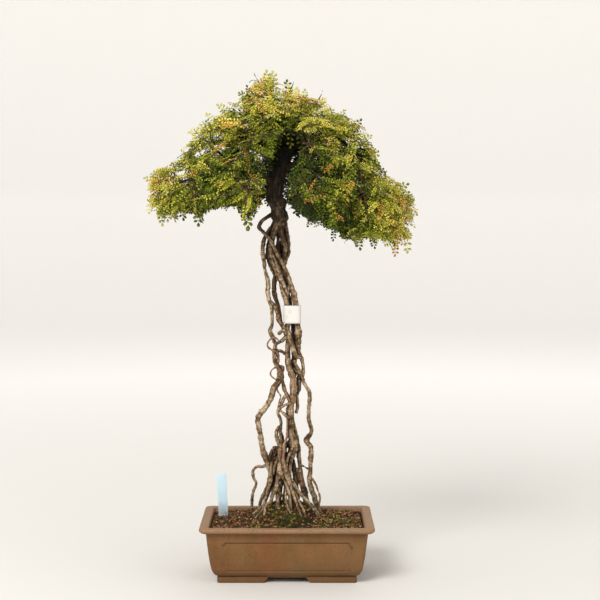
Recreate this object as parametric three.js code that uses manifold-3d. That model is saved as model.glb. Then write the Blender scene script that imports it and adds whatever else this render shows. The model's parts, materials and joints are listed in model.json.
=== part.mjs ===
// Zanthoxylum bonsai in the exposed-root style: a crown of small pinnate leaves on a trunk that
// stands on a braid of bare roots, in a rectangular unglazed pot on four corner feet.
// Millimetres, +Z up. The pot's front faces -Y. The origin is the bottom centre of the whole plant.
import * as THREE from "three";
import { mergeVertices } from "three/addons/utils/BufferGeometryUtils.js";
import Module from "manifold-3d";

const wasm = await Module();
wasm.setup();

// Pot
const POT_WIDTH = 215;
const POT_DEPTH = 147;
const POT_HEIGHT = 71;
const POT_CORNER = 9;
const RIM_OVERHANG = 8;
const RIM_HEIGHT = 7.5;
const RIM_TOP_WIDTH = 11;
const BODY_TOP = POT_HEIGHT - RIM_HEIGHT;
const BODY_BOTTOM = 9.5;
const FLOOR_TOP = 14;
const WALL = 7;
const DRAIN_RADIUS = 8;
const DRAIN_SPACING = 84;

// How far the wall leans in from the rim's underside, as [height, inset]
const WALL_LEAN = [[BODY_TOP, 0], [36, 3.2], [25, 5], [17, 6.9], [12, 9.4], [BODY_BOTTOM, 12]];

// Four corner feet under a thin base band
const FOOT_HEIGHT = 6.5;
const FOOT_INSET = 21.5;
const FOOT_THICKNESS = 14;
const FOOT_GAP_FRONT = 52;
const FOOT_GAP_SIDE = 30;
const FOOT_SLANT = 2.5;
const BAND_INSET = 22.5;

// Sunk panel on each side, its corners canted
const PANEL_DEPTH = 1;
const PANEL_LOW = 16;
const PANEL_HIGH = 52;
const PANEL_HALF_FRONT = 79;
const PANEL_HALF_SIDE = 44;
const CANT_WIDTH = 3.5;
const CANT_HEIGHT = 7;

// Mesh over each drain hole
const SCREEN_SIDE = 26;
const SCREEN_THICKNESS = 1;
const SCREEN_HOLES = 3;
const SCREEN_HOLE = 5;
const SCREEN_PITCH = 7.5;

// Soil, mounded under the roots
const SOIL_LEVEL = 66.5;
const SOIL_EDGE_DROP = 1;
const MOUND_HEIGHT = 24;
const MOUND_CENTRE = [0, 8];
const MOUND_REACH = [50, 38];
const LUMP = 0.9;

// A twig from a limb into a spray: how it thins, how much it rises, how near the spray's middle it ends
const TWIG = {
  radius: 1.2, radiusForReach: 0.03, middle: 0.85, end: 0.7, rise: 0.08, stopShort: 4, leastShare: 0.3,
};

// Clear distance kept between neighbouring pieces
const GAP = 0.3;

// A root's point this near the straight run between its neighbours is left out, but not near the tag
const STRAIGHT_WITHIN = 0.8;
const TAG_CARE = 14;

// Plant label stuck in the soil
const LABEL = {
  width: 12, thickness: 1, top: 123, bottom: 40, point: 12, x: -80.5, y: 20, lean: 2.5, turn: 5,
};

// Tag wrapped round two roots
const TAG = { low: 316.6, high: 339, x: 6.15, halfLength: 10.35, halfDepth: 4.3, thickness: 0.8 };

// Leaves, drawn larger than life so that they cover the crown
const LEAF_LENGTH = 52;
const LEAF_WIDTH = 33;
const LEAF_RIB = 1.3;
const LEAF_EDGE = 0.9;
const LEAF_PAIRS = 3;
const LEAF_ARCH = 12;
const LEAF_FALL = 0.12;
const PETIOLE = 7;
const LEAF_TRIES = 500;
const SMALLEST_LEAF = 0.42;
// Where the pairs of leaflets stand on the rib, as shares of the leaf's length
const FIRST_PAIR = 0.06;
const PAIR_STEP = 0.225;
// A leaflet's outer corners, as shares of the step to the next pair and of the blade's half width
const LEAFLET = { near: 0.36, far: 1.02, farWidth: 0.92, endPairWidth: 0.86 };
const END_LEAFLET = { widest: 0.6, halfWidth: 0.26 };
// How a leaf's direction is drawn: its place on the heart, the way out of the crown, and chance
const LEAF_AIM = { facing: 0.7, outward: 0.2, wander: 1.1 };
const LEAF_UPRIGHT = { facing: 0.8, up: 0.9 };
const SPRAY_SPREAD = 1.3;
const SPRAY_TURN = 2.4;

// The small heart that a spray's leaves stand on
const CORE_INSIDE_REACH = 18;
const CORE_FLATNESS = 0.8;
const LEAF_SINK = 0.85;

// The crown's outline in the front view: [distance from its axis, height], left and right of it
const CROWN_AXIS = -8;
const CROWN_DEPTH_RATIO = 0.68;
const CROWN_MIDDLE = 500;
const CROWN_TOP_LEFT = [[0, 622], [16, 629], [44, 607], [73, 583], [110, 559], [139, 516], [167, 498]];
const CROWN_TOP_RIGHT = [
  [0, 622], [20, 611], [51, 596], [80, 574], [105, 560], [121, 530], [146, 492], [171, 480],
];
const CROWN_UNDER_LEFT = [
  [0, 478], [24, 477], [43, 438], [60, 462], [89, 465], [107, 446], [145, 444], [167, 470],
];
const CROWN_UNDER_RIGHT = [
  [0, 478], [18, 467], [39, 446], [68, 427], [93, 411], [146, 402], [164, 421], [171, 456],
];
// The dark opening under the crown's front, where the trunk shows
const OPENING = { left: -32, right: 14, top: 540 };

// Chance is drawn anew for each spray, from its own seed
const FIRST_SEED = 1000;
const SEED_STEP = 77;

// Foliage sprays stand in rings round the crown's axis, some way below its top. Turns are in degrees.
const SPRAY_RINGS = [
  { name: "apex", distance: 14, count: 1, turn: 180, below: 33, reach: 30, leaves: 4, droop: -0.7 },
  { name: "top", distance: 50, count: 5, turn: -54, below: 30, reach: 31, leaves: 3, droop: 0.2 },
  { name: "upper", distance: 92, count: 8, turn: -67.5, below: 32, reach: 33, leaves: 3, droop: 0.6 },
  { name: "outer", distance: 134, count: 11, turn: -73.6, below: 34, reach: 34, leaves: 4, droop: 0.6 },
];
// Sprays that hang lower
const HANGING = { leaves: 3, droop: 0.7 };
const HANGING_SPRAYS = [
  { x: 120, y: -6, z: 432, reach: 32 },
  { x: 88, y: -38, z: 436, reach: 32 },
  { x: 84, y: 38, z: 440, reach: 32 },
  { x: 52, y: -8, z: 460, reach: 29 },
  { x: -54, y: -26, z: 478, reach: 29 },
];

const BARK = { color: 0x6e5a45, roughness: 0.9 };
const CLAY = { color: 0x86603f, roughness: 0.75 };
const EARTH = { color: 0x4c3524, roughness: 1 };
const FOLIAGE = { color: 0x6f7d22, roughness: 0.6 };
const WHITE_BAND = { color: 0xf2f1ec, roughness: 0.8 };
const BLUE_LABEL = { color: 0xc8e4f4, roughness: 0.5 };
const BLACK_MESH = { color: 0x20242a, roughness: 0.7 };

// Trunk, roots and limbs: each is a list of [x, y, z, radius], with x and y from the pot's centre.
const TRUNK = [
  [-23, 0, 612, 1.6], [-14, -1, 586, 3.6], [-4, -1, 563, 5.2], [3, 0, 541, 6.8], [-1, 0, 525, 7.6],
  [-6.5, 0, 511, 8.2], [-12, 0, 497, 8.8], [-15, 0, 483, 10], [-14.8, 0, 473, 10.4],
  [-11, 0, 463, 8.8], [-9.6, 0, 454, 9.2], [-9, 0, 446, 9.2], [-10, 0, 438, 6],
];

const ROOTS = {
  loop: [
    [-12, -4, 457, 3], [-20, -6, 452, 2.5], [-27, -8, 448.5, 2.4], [-32, -9, 444, 2.3],
    [-35, -9, 437, 2.5], [-30.5, -9, 431.5, 2], [-24, -10, 425, 2], [-19, -9, 418, 2.1],
    [-15, -8, 410, 2.3], [-11, -8, 402, 2.4], [-6, -7, 393, 2.3], [-2, -7, 384, 2.3],
    [1, -6, 376, 2.3], [4, -4, 366, 2.5],
  ],
  outerLeft: [
    [-20, 1, 436, 2.8], [-26, -2, 427, 2.3], [-29.5, -3, 418, 2.4], [-30.8, -3, 406, 2.4],
    [-29, -2, 394, 2.4], [-27.3, -2, 382, 2.4], [-24, -3, 369, 2.6], [-24.2, -3, 356, 2.8],
    [-22.6, -4, 346, 2.7], [-19.6, -4, 338, 2.8], [-19, -3, 328, 2.3], [-19, -3, 315, 2.2],
    [-21.6, -3, 307, 3], [-18.6, -3, 301, 2.6], [-15, -3, 290, 2.7], [-16.4, -3, 279, 2.6],
    [-16, -2, 270, 2.5], [-13, -1, 264, 2.8], [-9, 0, 256, 3.7], [-9, 0, 247, 4.6], [-12, 0, 241, 4],
    [-17, 0, 234, 3.6], [-21, 0, 222.6, 3.5], [-27, 0, 211, 3.4], [-33.5, 0, 203, 3.6],
    [-37, 0, 195, 3.7], [-35.6, 0, 186, 3.4], [-34, 0, 174, 3.5], [-32.3, 1, 163, 3.8],
    [-29.6, 2, 152, 3.7], [-25, 3, 140, 4], [-22.5, 4, 130, 2.8], [-22.5, 5, 119, 2.4],
    [-25.5, 7, 109, 2.3], [-30, 10, 99, 2.3], [-34, 14, 88, 2.2], [-37, 17, 75, 1.9], [-38, 18, 60, 1.5],
  ],
  crossLeft: [
    [-22, -5, 345, 2.4], [-16, -6, 339.5, 2.5], [-13, -6, 331.5, 2.4], [-10, -5, 323, 2.4],
    [-8.4, -4, 317, 2.5], [-4.5, -3.5, 311.5, 2.7], [0.5, -3, 303, 2.8],
  ],
  darkLeft: [
    [-12, 3, 448, 4], [-16.5, 4, 440, 3.4], [-20.6, 5, 431, 3.2], [-22.2, 5, 419, 3],
    [-24.8, 4, 403, 2.9], [-21, 4, 390, 2.9], [-15.6, 4, 377, 2.8], [-16.6, 4, 362, 2.8],
    [-15, 4, 350, 2.8], [-11.6, 4, 339, 2.7], [-9.6, 4, 328, 2.7], [-8.3, 4, 317.5, 2.8],
    [-4.5, 2, 310.5, 3], [0, 1, 300, 3.2],
  ],
  centre: [
    [-9, -3, 448, 4.6], [-13, -3, 438, 4.4], [-17.6, -3, 427, 3.7], [-19.4, -3, 415, 3.5],
    [-19.4, -3, 403, 4.4], [-15.5, -2, 394, 4.9], [-12, -2, 384, 5], [-8, -2, 375, 5],
    [-5, -2, 364, 4.3], [-3, -2, 352, 3.8], [-0.8, -1, 342.5, 3.6], [0.9, 0, 334, 3.7],
    [2.4, 0, 325, 3.7], [1.2, 0, 317, 3.6], [-0.4, -2, 309.5, 3.6], [2.2, -3, 300, 3.5],
    [5.6, -3, 290, 3.4], [8.6, -3, 281, 3.3], [12.5, -2, 275.5, 3.3], [17, -1, 274, 2.6],
  ],
  right: [
    [-6, 2, 450, 5.6], [-3.6, 2, 440, 4.2], [-1, 2, 431, 3.4], [0.6, 2, 419, 3.2], [1.4, 2, 408, 3.1],
    [-1.2, 1, 399, 3.1], [-4.6, 0, 389, 3.8], [-1.5, 0, 376, 4.4], [3.5, 0, 366, 4], [6.8, 0, 357, 3.8],
    [9.6, 0, 346, 3.8], [11.6, 0, 335, 3.7], [12.2, 0, 325, 3.8], [12.6, 0, 315, 3.9],
    [14.4, 0, 303, 4.1], [13.6, 0, 290, 3.7], [13.8, 0, 281, 3.2], [17.6, 1, 273, 2.4],
    [19.8, 1, 264, 2.1], [20, 1, 254, 2.1], [19, 0, 246, 2.1],
  ],
  inner: [
    [-6, -4, 446, 3.4], [-7.2, -5, 434, 3.2], [-5.4, -5, 421, 3.1], [-2, -4, 412, 3], [-3.6, -4, 400, 2.8],
    [-5, -4, 388, 2.6],
  ],
  betweenThin: [[3.4, -2, 368, 2.4], [0.6, -3, 358, 2], [-0.4, -3, 350, 2], [0.6, -1, 341, 2.2]],
  main: [
    [2.6, -1, 301, 3], [0.8, 0, 289, 3.4], [0.6, 0, 279, 3.6], [1.5, 0, 266, 4], [4.4, -2, 256, 4.2],
    [7.6, -2, 245, 4.4], [7.8, -2, 233, 4.6], [6.8, -2, 222, 4.4], [4.6, -2, 213, 4.2], [3.2, -3, 207, 5.2],
    [4.4, -2, 199, 3.8], [4, -2, 188, 4], [4.6, -2, 178, 4.2], [7.4, -3, 168, 5.4], [8.8, -3, 161, 5.6],
    [7.6, -2, 153, 3.7], [3.6, -2, 144, 3.4], [-0.4, -3, 135, 3.2], [-5.5, -5, 127, 2.9],
    [-11, -6, 119, 2.7], [-14, -8, 111, 2.4], [-17.6, -10, 102, 2.1], [-21, -12, 93, 1.9],
    [-27, -15, 88.5, 1.8], [-28.6, -18, 79, 1.8], [-29, -20, 60, 1.5],
  ],
  outerRight: [
    [8, 1, 259, 2.8], [15.6, 0, 253, 2.7], [19.6, 0, 246.5, 2.6], [22.4, -1, 239, 2.4], [27, -2, 232, 2.5],
    [28.5, -2, 225, 2.6], [27.5, -2, 215, 2.5], [27.2, -2, 196, 2.5], [30.4, -2, 183, 2.7],
    [29, -2, 177, 2.9], [24.6, -2, 170.5, 3.8], [25.6, -2, 166, 3.5], [29.7, -2, 160, 3],
    [29.6, -2, 150, 2.9], [29, -2, 134, 2.9], [27.8, -2, 119, 2.9], [29.8, -2, 109, 3.2],
    [33, -2, 100, 3.4], [36, -1, 90, 3.4], [39.5, 1, 80, 2.8], [41.5, 2, 60, 2],
  ],
  stubRight: [
    [14.8, 2, 254, 2.8], [14.8, 3, 240, 3], [14.6, 3, 231, 2.4], [12.4, 2, 225, 2], [12.8, 1, 211, 2.1],
    [11.4, 1, 203.5, 2.1],
  ],
  right2: [
    [5, 0, 202, 2.4], [8.4, 1, 186, 2.2], [12, 2, 174, 2.3], [14.2, 3, 158, 2.4], [15.7, 4, 138, 2.5],
    [16, 5, 120, 2.6], [18.8, 7, 109, 2.9], [22.6, 10, 98, 2.8], [26, 14, 84, 2.3], [28, 16, 60, 1.8],
  ],
  strandLeft: [
    [-7.4, 0, 262, 4], [-7.6, -1, 252, 3], [-5.4, -1, 240, 2.5], [-2.6, -2, 231, 2.5], [1.6, -3, 222, 2.5],
    [5, -3, 215, 2.5],
  ],
  shortLeft: [[-2, -3, 226, 2.2], [-5.6, -4, 219, 2], [-8.2, -5, 213, 2], [-9.6, -6, 208, 1.8]],
  ring: [
    [5, -4, 217, 2], [0, -6, 215, 1.9], [-5, -7, 213, 1.9], [-10, -6, 209.5, 1.9], [-11.6, -5, 204, 1.9],
    [-8.6, -3, 197, 1.9], [-8, -2, 189, 2.1], [-11.6, -1, 184, 2.2], [-13.6, -1, 177, 2.3],
    [-12, -2, 169, 2.3], [-10, -3, 161, 2.4], [-13.4, -1, 156, 2.4], [-18.6, 1, 151, 2.3],
    [-19.6, 2, 144, 2.4], [-20, 1, 132, 2.6], [-21.6, 0, 117, 2.2], [-24.6, -2, 104, 2],
    [-28.4, -4, 92, 1.9], [-31, -6, 80, 1.9], [-32, -7, 60, 1.5],
  ],
  slender: [
    [-7.6, -3, 188, 2], [-8.6, -4, 179, 2], [-7.4, -4, 168, 2], [-7.2, -4, 158, 3.1], [-7.6, -5, 148, 3],
    [-8.6, -5, 138, 3.1], [-11, -4, 126, 2.9], [-12.2, -4, 114, 2.6], [-12.6, -6, 102, 2.6],
    [-12, -9, 90, 2.4], [-10, -12, 79, 2.1], [-9, -13, 60, 1.6],
  ],
  frontLong: [
    [7, -5, 158, 3], [4, -5, 144, 2.9], [2.3, -5, 131, 3], [2.6, -6, 119, 3], [5, -8, 110, 2.6],
    [8.6, -11, 100, 2], [12.5, -15, 90, 1.8], [16.5, -20, 80, 1.6], [18.4, -25, 70, 1.5], [18.5, -27, 58, 1.3],
  ],
  frontRight: [
    [4, -6, 120, 2.4], [9.5, -7, 112, 2.5], [17, -9, 102, 2.4], [25.6, -11, 93, 2.4], [33, -12, 85, 2.3],
    [39, -13, 76, 1.9], [42, -14, 58, 1.5],
  ],
  frontMiddle: [
    [9, -8, 106, 1.9], [13, -12, 97, 1.7], [17.5, -16, 89, 1.6], [22, -20, 79, 1.4], [25, -22, 70, 1.2],
    [26, -22, 58, 1],
  ],
  frontLeft: [
    [-1, -6, 118, 2], [-1.8, -9, 108, 1.7], [-1.8, -12, 99, 1.5], [-0.4, -16, 89, 1.5], [4, -20, 81, 1.4],
    [8.6, -23, 73, 1.2], [9.6, -24, 58, 1.1],
  ],
  sideLeft: [
    [-24.6, 4, 137, 2.2], [-31.5, 5, 134.5, 1.9], [-38.4, 7, 134, 1.9], [-43.6, 9, 128, 1.9],
    [-43, 12, 119, 1.8], [-39.8, 14, 111, 1.9], [-43.4, 17, 101, 1.8], [-45.2, 19, 90, 1.8],
    [-45.6, 21, 76, 1.7], [-46, 22, 60, 1.5],
  ],
  darkLow: [
    [-15.6, 3, 148, 3], [-16.6, 6, 136, 3.6], [-18, 9, 123, 3.6], [-20.6, 12, 111, 3.4], [-25, 16, 99, 3],
    [-29, 21, 85, 2.4], [-31, 24, 62, 1.8],
  ],
  surfaceLeft: [
    [-29, -4, 88, 1.8], [-38, -6, 80, 1.6], [-46, -8, 74.5, 1.4], [-54, -10, 68, 1.2], [-58, -11, 61, 1],
  ],
  backLong: [
    [-8, 4, 450, 4], [-6, 7, 424, 3.2], [-9, 7, 396, 3.4], [-5, 7, 374, 3.6], [1, 9.4, 350, 3.4],
    [6, 10.2, 325, 3.3], [9, 9.6, 300, 3.4], [8.4, 8.4, 275, 3.3], [8, 7, 250, 3.4], [6.4, 7, 225, 3.4],
    [4.4, 7, 200, 3.5], [5, 9, 175, 3.4], [3, 12, 150, 3.2], [0, 17, 125, 2.8], [-3, 26, 100, 2.6],
    [-5, 36, 80, 2.3], [-6, 40, 60, 1.9],
  ],
  backRight: [
    [6, 9, 196, 2.6], [11, 12, 168, 2.5], [15, 18, 140, 2.5], [19, 27, 112, 2.4], [23, 37, 86, 2.2],
    [25, 42, 60, 1.7],
  ],
  backLeft: [
    [3, 10.5, 166, 2.8], [-6, 13, 152, 2.7], [-13, 17, 134, 2.7], [-17, 26, 108, 2.4], [-21, 37, 84, 2.1],
    [-23, 41, 60, 1.7],
  ],
  backMiddle: [
    [3.6, 12, 146, 2.4], [8, 19, 124, 2.3], [9, 31, 100, 2.1], [10, 43, 80, 1.9], [10, 47, 60, 1.6],
  ],
  darkStub: [[0, -4, 303, 2.2], [-5.4, -6, 308, 2.1], [-10.9, -7, 303.6, 2]],
  bridgeHigh: [[-0.4, -3, 301, 2.6], [-5.8, -4, 295.4, 2.5], [-12, -3, 292, 2.4], [-15, -3, 290, 2]],
  curl: [
    [-9.6, -6, 293, 1.2], [-12.6, -8, 297.5, 1.1], [-17.3, -9, 299.6, 1.1], [-22, -7, 296, 1.1],
    [-25, -5, 290, 1.1], [-23, -5, 286, 1.1], [-18, -6, 282.8, 1.1], [-12.8, -7, 281, 1.2],
    [-10.6, -6, 276, 1.3],
  ],
  bridge: [[-14.5, -3, 283, 1.9], [-9, -3, 282, 1.9], [-4.6, -2, 280, 1.9], [0, -1, 276, 2]],
  curlLow: [
    [-13.6, -3, 262, 1.2], [-19.5, -4, 258, 1], [-21, -4, 253, 1], [-18, -4, 248.6, 1.1], [-12, -3, 245, 1.4],
  ],
  threadLeft: [
    [-13, -2, 240, 1.2], [-12.2, -4, 232, 1], [-8.4, -5, 226, 1], [-9.4, -5, 220, 1], [-11.2, -6, 212, 1.2],
    [-11, -5, 206, 1.4],
  ],
  crossTwig: [[15.5, 3, 138, 1.2], [21.5, 1, 135, 1], [28.5, -2, 131.5, 1.2]],
  threadRight: [
    [28.5, -3, 122, 1.6], [34, -5, 117, 1.2], [38.4, -6, 107, 1.1], [41, -6, 97, 1.1], [40, -6, 86, 1.1],
    [39, -6, 62, 1],
  ],
};

const LIMBS = {
  lowLeft: [[-13, -1, 492, 5.5], [-40, -3, 500, 4.6], [-72, -5, 503, 3.6], [-104, -5, 497, 2.6]],
  lowLeftFront: [[-36, -2, 499, 4], [-64, -26, 500, 3], [-84, -40, 496, 2.2]],
  lowLeftBack: [[-36, -2, 499, 4], [-60, 26, 502, 3], [-72, 50, 500, 2.4]],
  lowRight: [[-6, 0, 512, 5.6], [26, -3, 514, 4.8], [60, -5, 504, 3.8], [88, -6, 484, 3], [104, -6, 460, 2.2]],
  lowRightFront: [[24, -3, 514, 4], [48, -24, 508, 3], [66, -42, 496, 2.2]],
  lowRightBack: [[24, -3, 514, 4], [46, 26, 511, 3], [62, 50, 500, 2.4]],
  midLeft: [[-1, 0, 526, 5], [-30, -6, 540, 3.8], [-60, -12, 548, 2.6]],
  midRight: [[3, 0, 538, 5], [30, -4, 548, 3.8], [58, -6, 550, 2.6]],
  midFront: [[1, 0, 540, 4.4], [-4, -22, 554, 3.2], [-10, -40, 560, 2.2]],
  midBack: [[0, 0, 530, 4.6], [-4, 30, 536, 3.4], [-8, 58, 524, 2.4]],
};

// A repeatable random number from 0 to 1 for each seed.
function seededRandom(seed) {
  let state = seed;
  return () => {
    state = (state + 0x6d2b79f5) | 0;
    let t = Math.imul(state ^ (state >>> 15), 1 | state);
    t = (t + Math.imul(t ^ (t >>> 7), 61 | t)) ^ t;
    return ((t ^ (t >>> 14)) >>> 0) / 4294967296;
  };
}

// The value of a line of [place, value] points at a place.
function along(line, place) {
  const forward = line[0][0] < line[line.length - 1][0];
  const points = forward ? line : [...line].reverse();
  if (place <= points[0][0]) return points[0][1];
  const after = points.findIndex(([x]) => x >= place);
  if (after < 0) return points[points.length - 1][1];
  const [x0, value0] = points[after - 1];
  const [x1, value1] = points[after];
  return value0 + ((value1 - value0) * (place - x0)) / (x1 - x0);
}

// A solid from vertices and triangles, turned to face outwards.
function solidFrom(vertices, triangles) {
  const vertProperties = new Float32Array(vertices.flat());
  const triVerts = new Uint32Array(triangles.flat());
  const solid = new wasm.Manifold(new wasm.Mesh({ numProp: 3, vertProperties, triVerts }));
  if (solid.volume() > 0) return solid;
  return solidFrom(vertices, triangles.map(([a, b, c]) => [a, c, b]));
}

function solidOf(geometry) {
  const bare = geometry.clone();
  bare.deleteAttribute("normal");
  bare.deleteAttribute("uv");
  const merged = mergeVertices(bare, 1e-4);
  const vertProperties = merged.attributes.position.array;
  const triVerts = new Uint32Array(merged.index.array);
  return new wasm.Manifold(new wasm.Mesh({ numProp: 3, vertProperties, triVerts }));
}

function largestPiece(solid) {
  const pieces = solid.decompose();
  return pieces.reduce((best, piece) => (piece.volume() > best.volume() ? piece : best));
}

function unite(solids) {
  return solids.reduce((all, solid) => all.add(solid));
}

function meshOf(name, solid, { color, roughness }) {
  const data = solid.getMesh();
  const geometry = new THREE.BufferGeometry();
  geometry.setAttribute("position", new THREE.BufferAttribute(data.vertProperties, 3));
  geometry.setIndex(new THREE.BufferAttribute(data.triVerts, 1));
  geometry.computeVertexNormals();
  const mesh = new THREE.Mesh(geometry, new THREE.MeshStandardMaterial({ color, roughness, metalness: 0 }));
  mesh.name = name;
  return mesh;
}

// Rings of equal point count joined into one closed skin, with a flat cap on each end.
function loft(rings) {
  const count = rings[0].length;
  const triangles = [];
  for (let r = 0; r + 1 < rings.length; r++) {
    for (let i = 0; i < count; i++) {
      const next = (i + 1) % count;
      const low = r * count;
      const high = low + count;
      triangles.push([low + i, low + next, high + next], [low + i, high + next, high + i]);
    }
  }
  const last = (rings.length - 1) * count;
  for (let i = 1; i + 1 < count; i++) {
    triangles.push([0, i + 1, i], [last, last + i, last + i + 1]);
  }
  return solidFrom(rings.flat(), triangles);
}

function smoothLine(route) {
  const points = route.map(([x, y, z]) => new THREE.Vector3(x, y, z));
  return new THREE.CatmullRomCurve3(points, false, "centripetal");
}

// A route without the points that lie close to the straight run between their neighbours.
function thinned(route) {
  const kept = [route[0]];
  for (let i = 1; i + 1 < route.length; i++) {
    const before = kept[kept.length - 1];
    const here = route[i];
    const after = route[i + 1];
    const share = (here[2] - before[2]) / (after[2] - before[2] || 1);
    const off = Math.hypot(...here.map((value, k) => value - before[k] - share * (after[k] - before[k])));
    const isNearTag = here[2] > TAG.low - TAG_CARE && here[2] < TAG.high + TAG_CARE;
    if (isNearTag || off > STRAIGHT_WITHIN) kept.push(here);
  }
  return [...kept, route[route.length - 1]];
}

// A tapering tube through [x, y, z, radius] points, its ring turned as little as possible on the way.
function tube(fullRoute, clearance) {
  const route = thinned(fullRoute);
  const widest = Math.max(...route.map((point) => point[3]));
  const sides = widest > 6 ? 7 : widest > 3.1 ? 5 : 4;
  const curve = smoothLine(route);
  const across = new THREE.Vector3(0, 1, 0);
  const rings = route.map(([x, y, z, radius], i) => {
    const tangent = curve.getTangent(i / (route.length - 1));
    across.addScaledVector(tangent, -across.dot(tangent)).normalize();
    const other = new THREE.Vector3().crossVectors(tangent, across);
    const reach = radius + clearance;
    const end = i === 0 ? -clearance : i === route.length - 1 ? clearance : 0;
    const centre = new THREE.Vector3(x, y, z).addScaledVector(tangent, end);
    return Array.from({ length: sides }, (_, k) => {
      const turn = (2 * Math.PI * k) / sides;
      const point = centre
        .clone()
        .addScaledVector(across, reach * Math.cos(turn))
        .addScaledVector(other, reach * Math.sin(turn));
      return point.toArray();
    });
  });
  return loft(rings);
}

// A rectangle with round corners, as a ring of three points to each corner.
function roundRectangle(halfWidth, halfDepth, radius, z) {
  const corners = [[1, -1], [1, 1], [-1, 1], [-1, -1]];
  return corners.flatMap(([sx, sy], quarter) =>
    [0, 1, 2].map((step) => {
      const turn = (Math.PI / 2) * (quarter - 1 + step / 2);
      const x = sx * (halfWidth - radius) + radius * Math.cos(turn);
      const y = sy * (halfDepth - radius) + radius * Math.sin(turn);
      return [x, y, z];
    }),
  );
}

function potRing(inset, z) {
  const radius = Math.max(POT_CORNER - 0.35 * inset, 2);
  return roundRectangle(POT_WIDTH / 2 - inset, POT_DEPTH / 2 - inset, radius, z);
}

function bodyInset(z) {
  return RIM_OVERHANG + along(WALL_LEAN, z);
}

// The hollow follows the wall, and narrows a little under the rim.
const CAVITY = [
  [POT_HEIGHT, RIM_TOP_WIDTH], [POT_HEIGHT - 1, RIM_TOP_WIDTH + 0.6], [58, RIM_TOP_WIDTH + 2],
  [36, bodyInset(36) + WALL], [22, bodyInset(22) + WALL], [FLOOR_TOP, bodyInset(17) + WALL + 3],
];

function box(width, depth, height, x, y, z) {
  return solidOf(new THREE.BoxGeometry(width, depth, height)).translate([x, y, z]);
}

// A bar along Y with the given outline in X and Z, its middle at y = 0.
function barAlongY(outline, length) {
  const shape = new THREE.Shape(outline.map(([x, z]) => new THREE.Vector2(x, z)));
  const bar = new THREE.ExtrudeGeometry(shape, { depth: length, bevelEnabled: false });
  bar.rotateX(Math.PI / 2).translate(0, length / 2, 0);
  return solidOf(bar);
}

// The gap between two feet, wider at the table.
function footGap(gap, length) {
  const wide = gap / 2 + FOOT_SLANT;
  const narrow = gap / 2 - FOOT_SLANT;
  return barAlongY([[-wide, -1], [wide, -1], [narrow, FOOT_HEIGHT], [-narrow, FOOT_HEIGHT]], length);
}

function panelBar(half, length) {
  const inner = half - CANT_WIDTH;
  const outline = [
    [-inner, PANEL_LOW], [inner, PANEL_LOW], [half, PANEL_LOW + CANT_HEIGHT],
    [half, PANEL_HIGH - CANT_HEIGHT], [inner, PANEL_HIGH], [-inner, PANEL_HIGH],
    [-half, PANEL_HIGH - CANT_HEIGHT], [-half, PANEL_LOW + CANT_HEIGHT],
  ];
  return barAlongY(outline, length);
}

function makePot() {
  const rimUnder = [potRing(3, BODY_TOP + 1.2), potRing(0, BODY_TOP + 3.8)];
  const rimTop = [potRing(0, POT_HEIGHT - 1), potRing(1, POT_HEIGHT)];
  const outside = [...WALL_LEAN].reverse().map(([z, lean]) => potRing(RIM_OVERHANG + lean, z));
  const inside = CAVITY.map(([z, inset]) => potRing(inset, z));
  const shell = loft([...outside, ...rimUnder, ...rimTop, ...inside]);

  const sunk = [...WALL_LEAN].reverse().map(([z, lean]) => potRing(RIM_OVERHANG + lean + PANEL_DEPTH, z));
  const frontAndBack = panelBar(PANEL_HALF_FRONT, 2 * POT_DEPTH);
  const ends = panelBar(PANEL_HALF_SIDE, 2 * POT_WIDTH).rotate([0, 0, 90]);
  const panels = frontAndBack.add(ends).subtract(loft(sunk));

  const band = loft([potRing(BAND_INSET, FOOT_HEIGHT), potRing(BAND_INSET, BODY_BOTTOM + 1)]);
  const footOuter = loft([potRing(FOOT_INSET, 0), potRing(FOOT_INSET, FOOT_HEIGHT)]);
  const footInside = FOOT_INSET + FOOT_THICKNESS;
  const footInner = loft([potRing(footInside, -1), potRing(footInside, FOOT_HEIGHT + 1)]);
  const feet = footOuter
    .subtract(footInner)
    .subtract(footGap(FOOT_GAP_FRONT, 2 * POT_DEPTH))
    .subtract(footGap(FOOT_GAP_SIDE, 2 * POT_WIDTH).rotate([0, 0, 90]));

  const hole = new THREE.CylinderGeometry(DRAIN_RADIUS, DRAIN_RADIUS, 2 * FLOOR_TOP, 14);
  hole.rotateX(Math.PI / 2).translate(0, 0, FLOOR_TOP);
  const drains = [-1, 1].map((side) => solidOf(hole).translate([(side * DRAIN_SPACING) / 2, 0, 0]));
  return shell.subtract(panels).add(band).add(feet).subtract(unite(drains));
}

function screenMiddle(side) {
  return [(side * DRAIN_SPACING) / 2, 0, FLOOR_TOP + SCREEN_THICKNESS / 2];
}

function makeScreen(side) {
  const [x, y, z] = screenMiddle(side);
  let screen = box(SCREEN_SIDE, SCREEN_SIDE, SCREEN_THICKNESS, x, y, z);
  for (let i = 0; i < SCREEN_HOLES; i++) {
    for (let j = 0; j < SCREEN_HOLES; j++) {
      const across = x + (i - (SCREEN_HOLES - 1) / 2) * SCREEN_PITCH;
      const deep = y + (j - (SCREEN_HOLES - 1) / 2) * SCREEN_PITCH;
      screen = screen.subtract(box(SCREEN_HOLE, SCREEN_HOLE, 3 * SCREEN_THICKNESS, across, deep, z));
    }
  }
  return screen;
}

function soilHeight(x, y) {
  const dx = (x - MOUND_CENTRE[0]) / MOUND_REACH[0];
  const dy = (y - MOUND_CENTRE[1]) / MOUND_REACH[1];
  const mound = MOUND_HEIGHT * Math.exp(-dx * dx - dy * dy);
  const lumps = Math.sin(x * 0.21 + 1.3) * Math.cos(y * 0.27) + 0.6 * Math.sin(x * 0.43 - y * 0.37);
  return SOIL_LEVEL + mound + LUMP * lumps;
}

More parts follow.
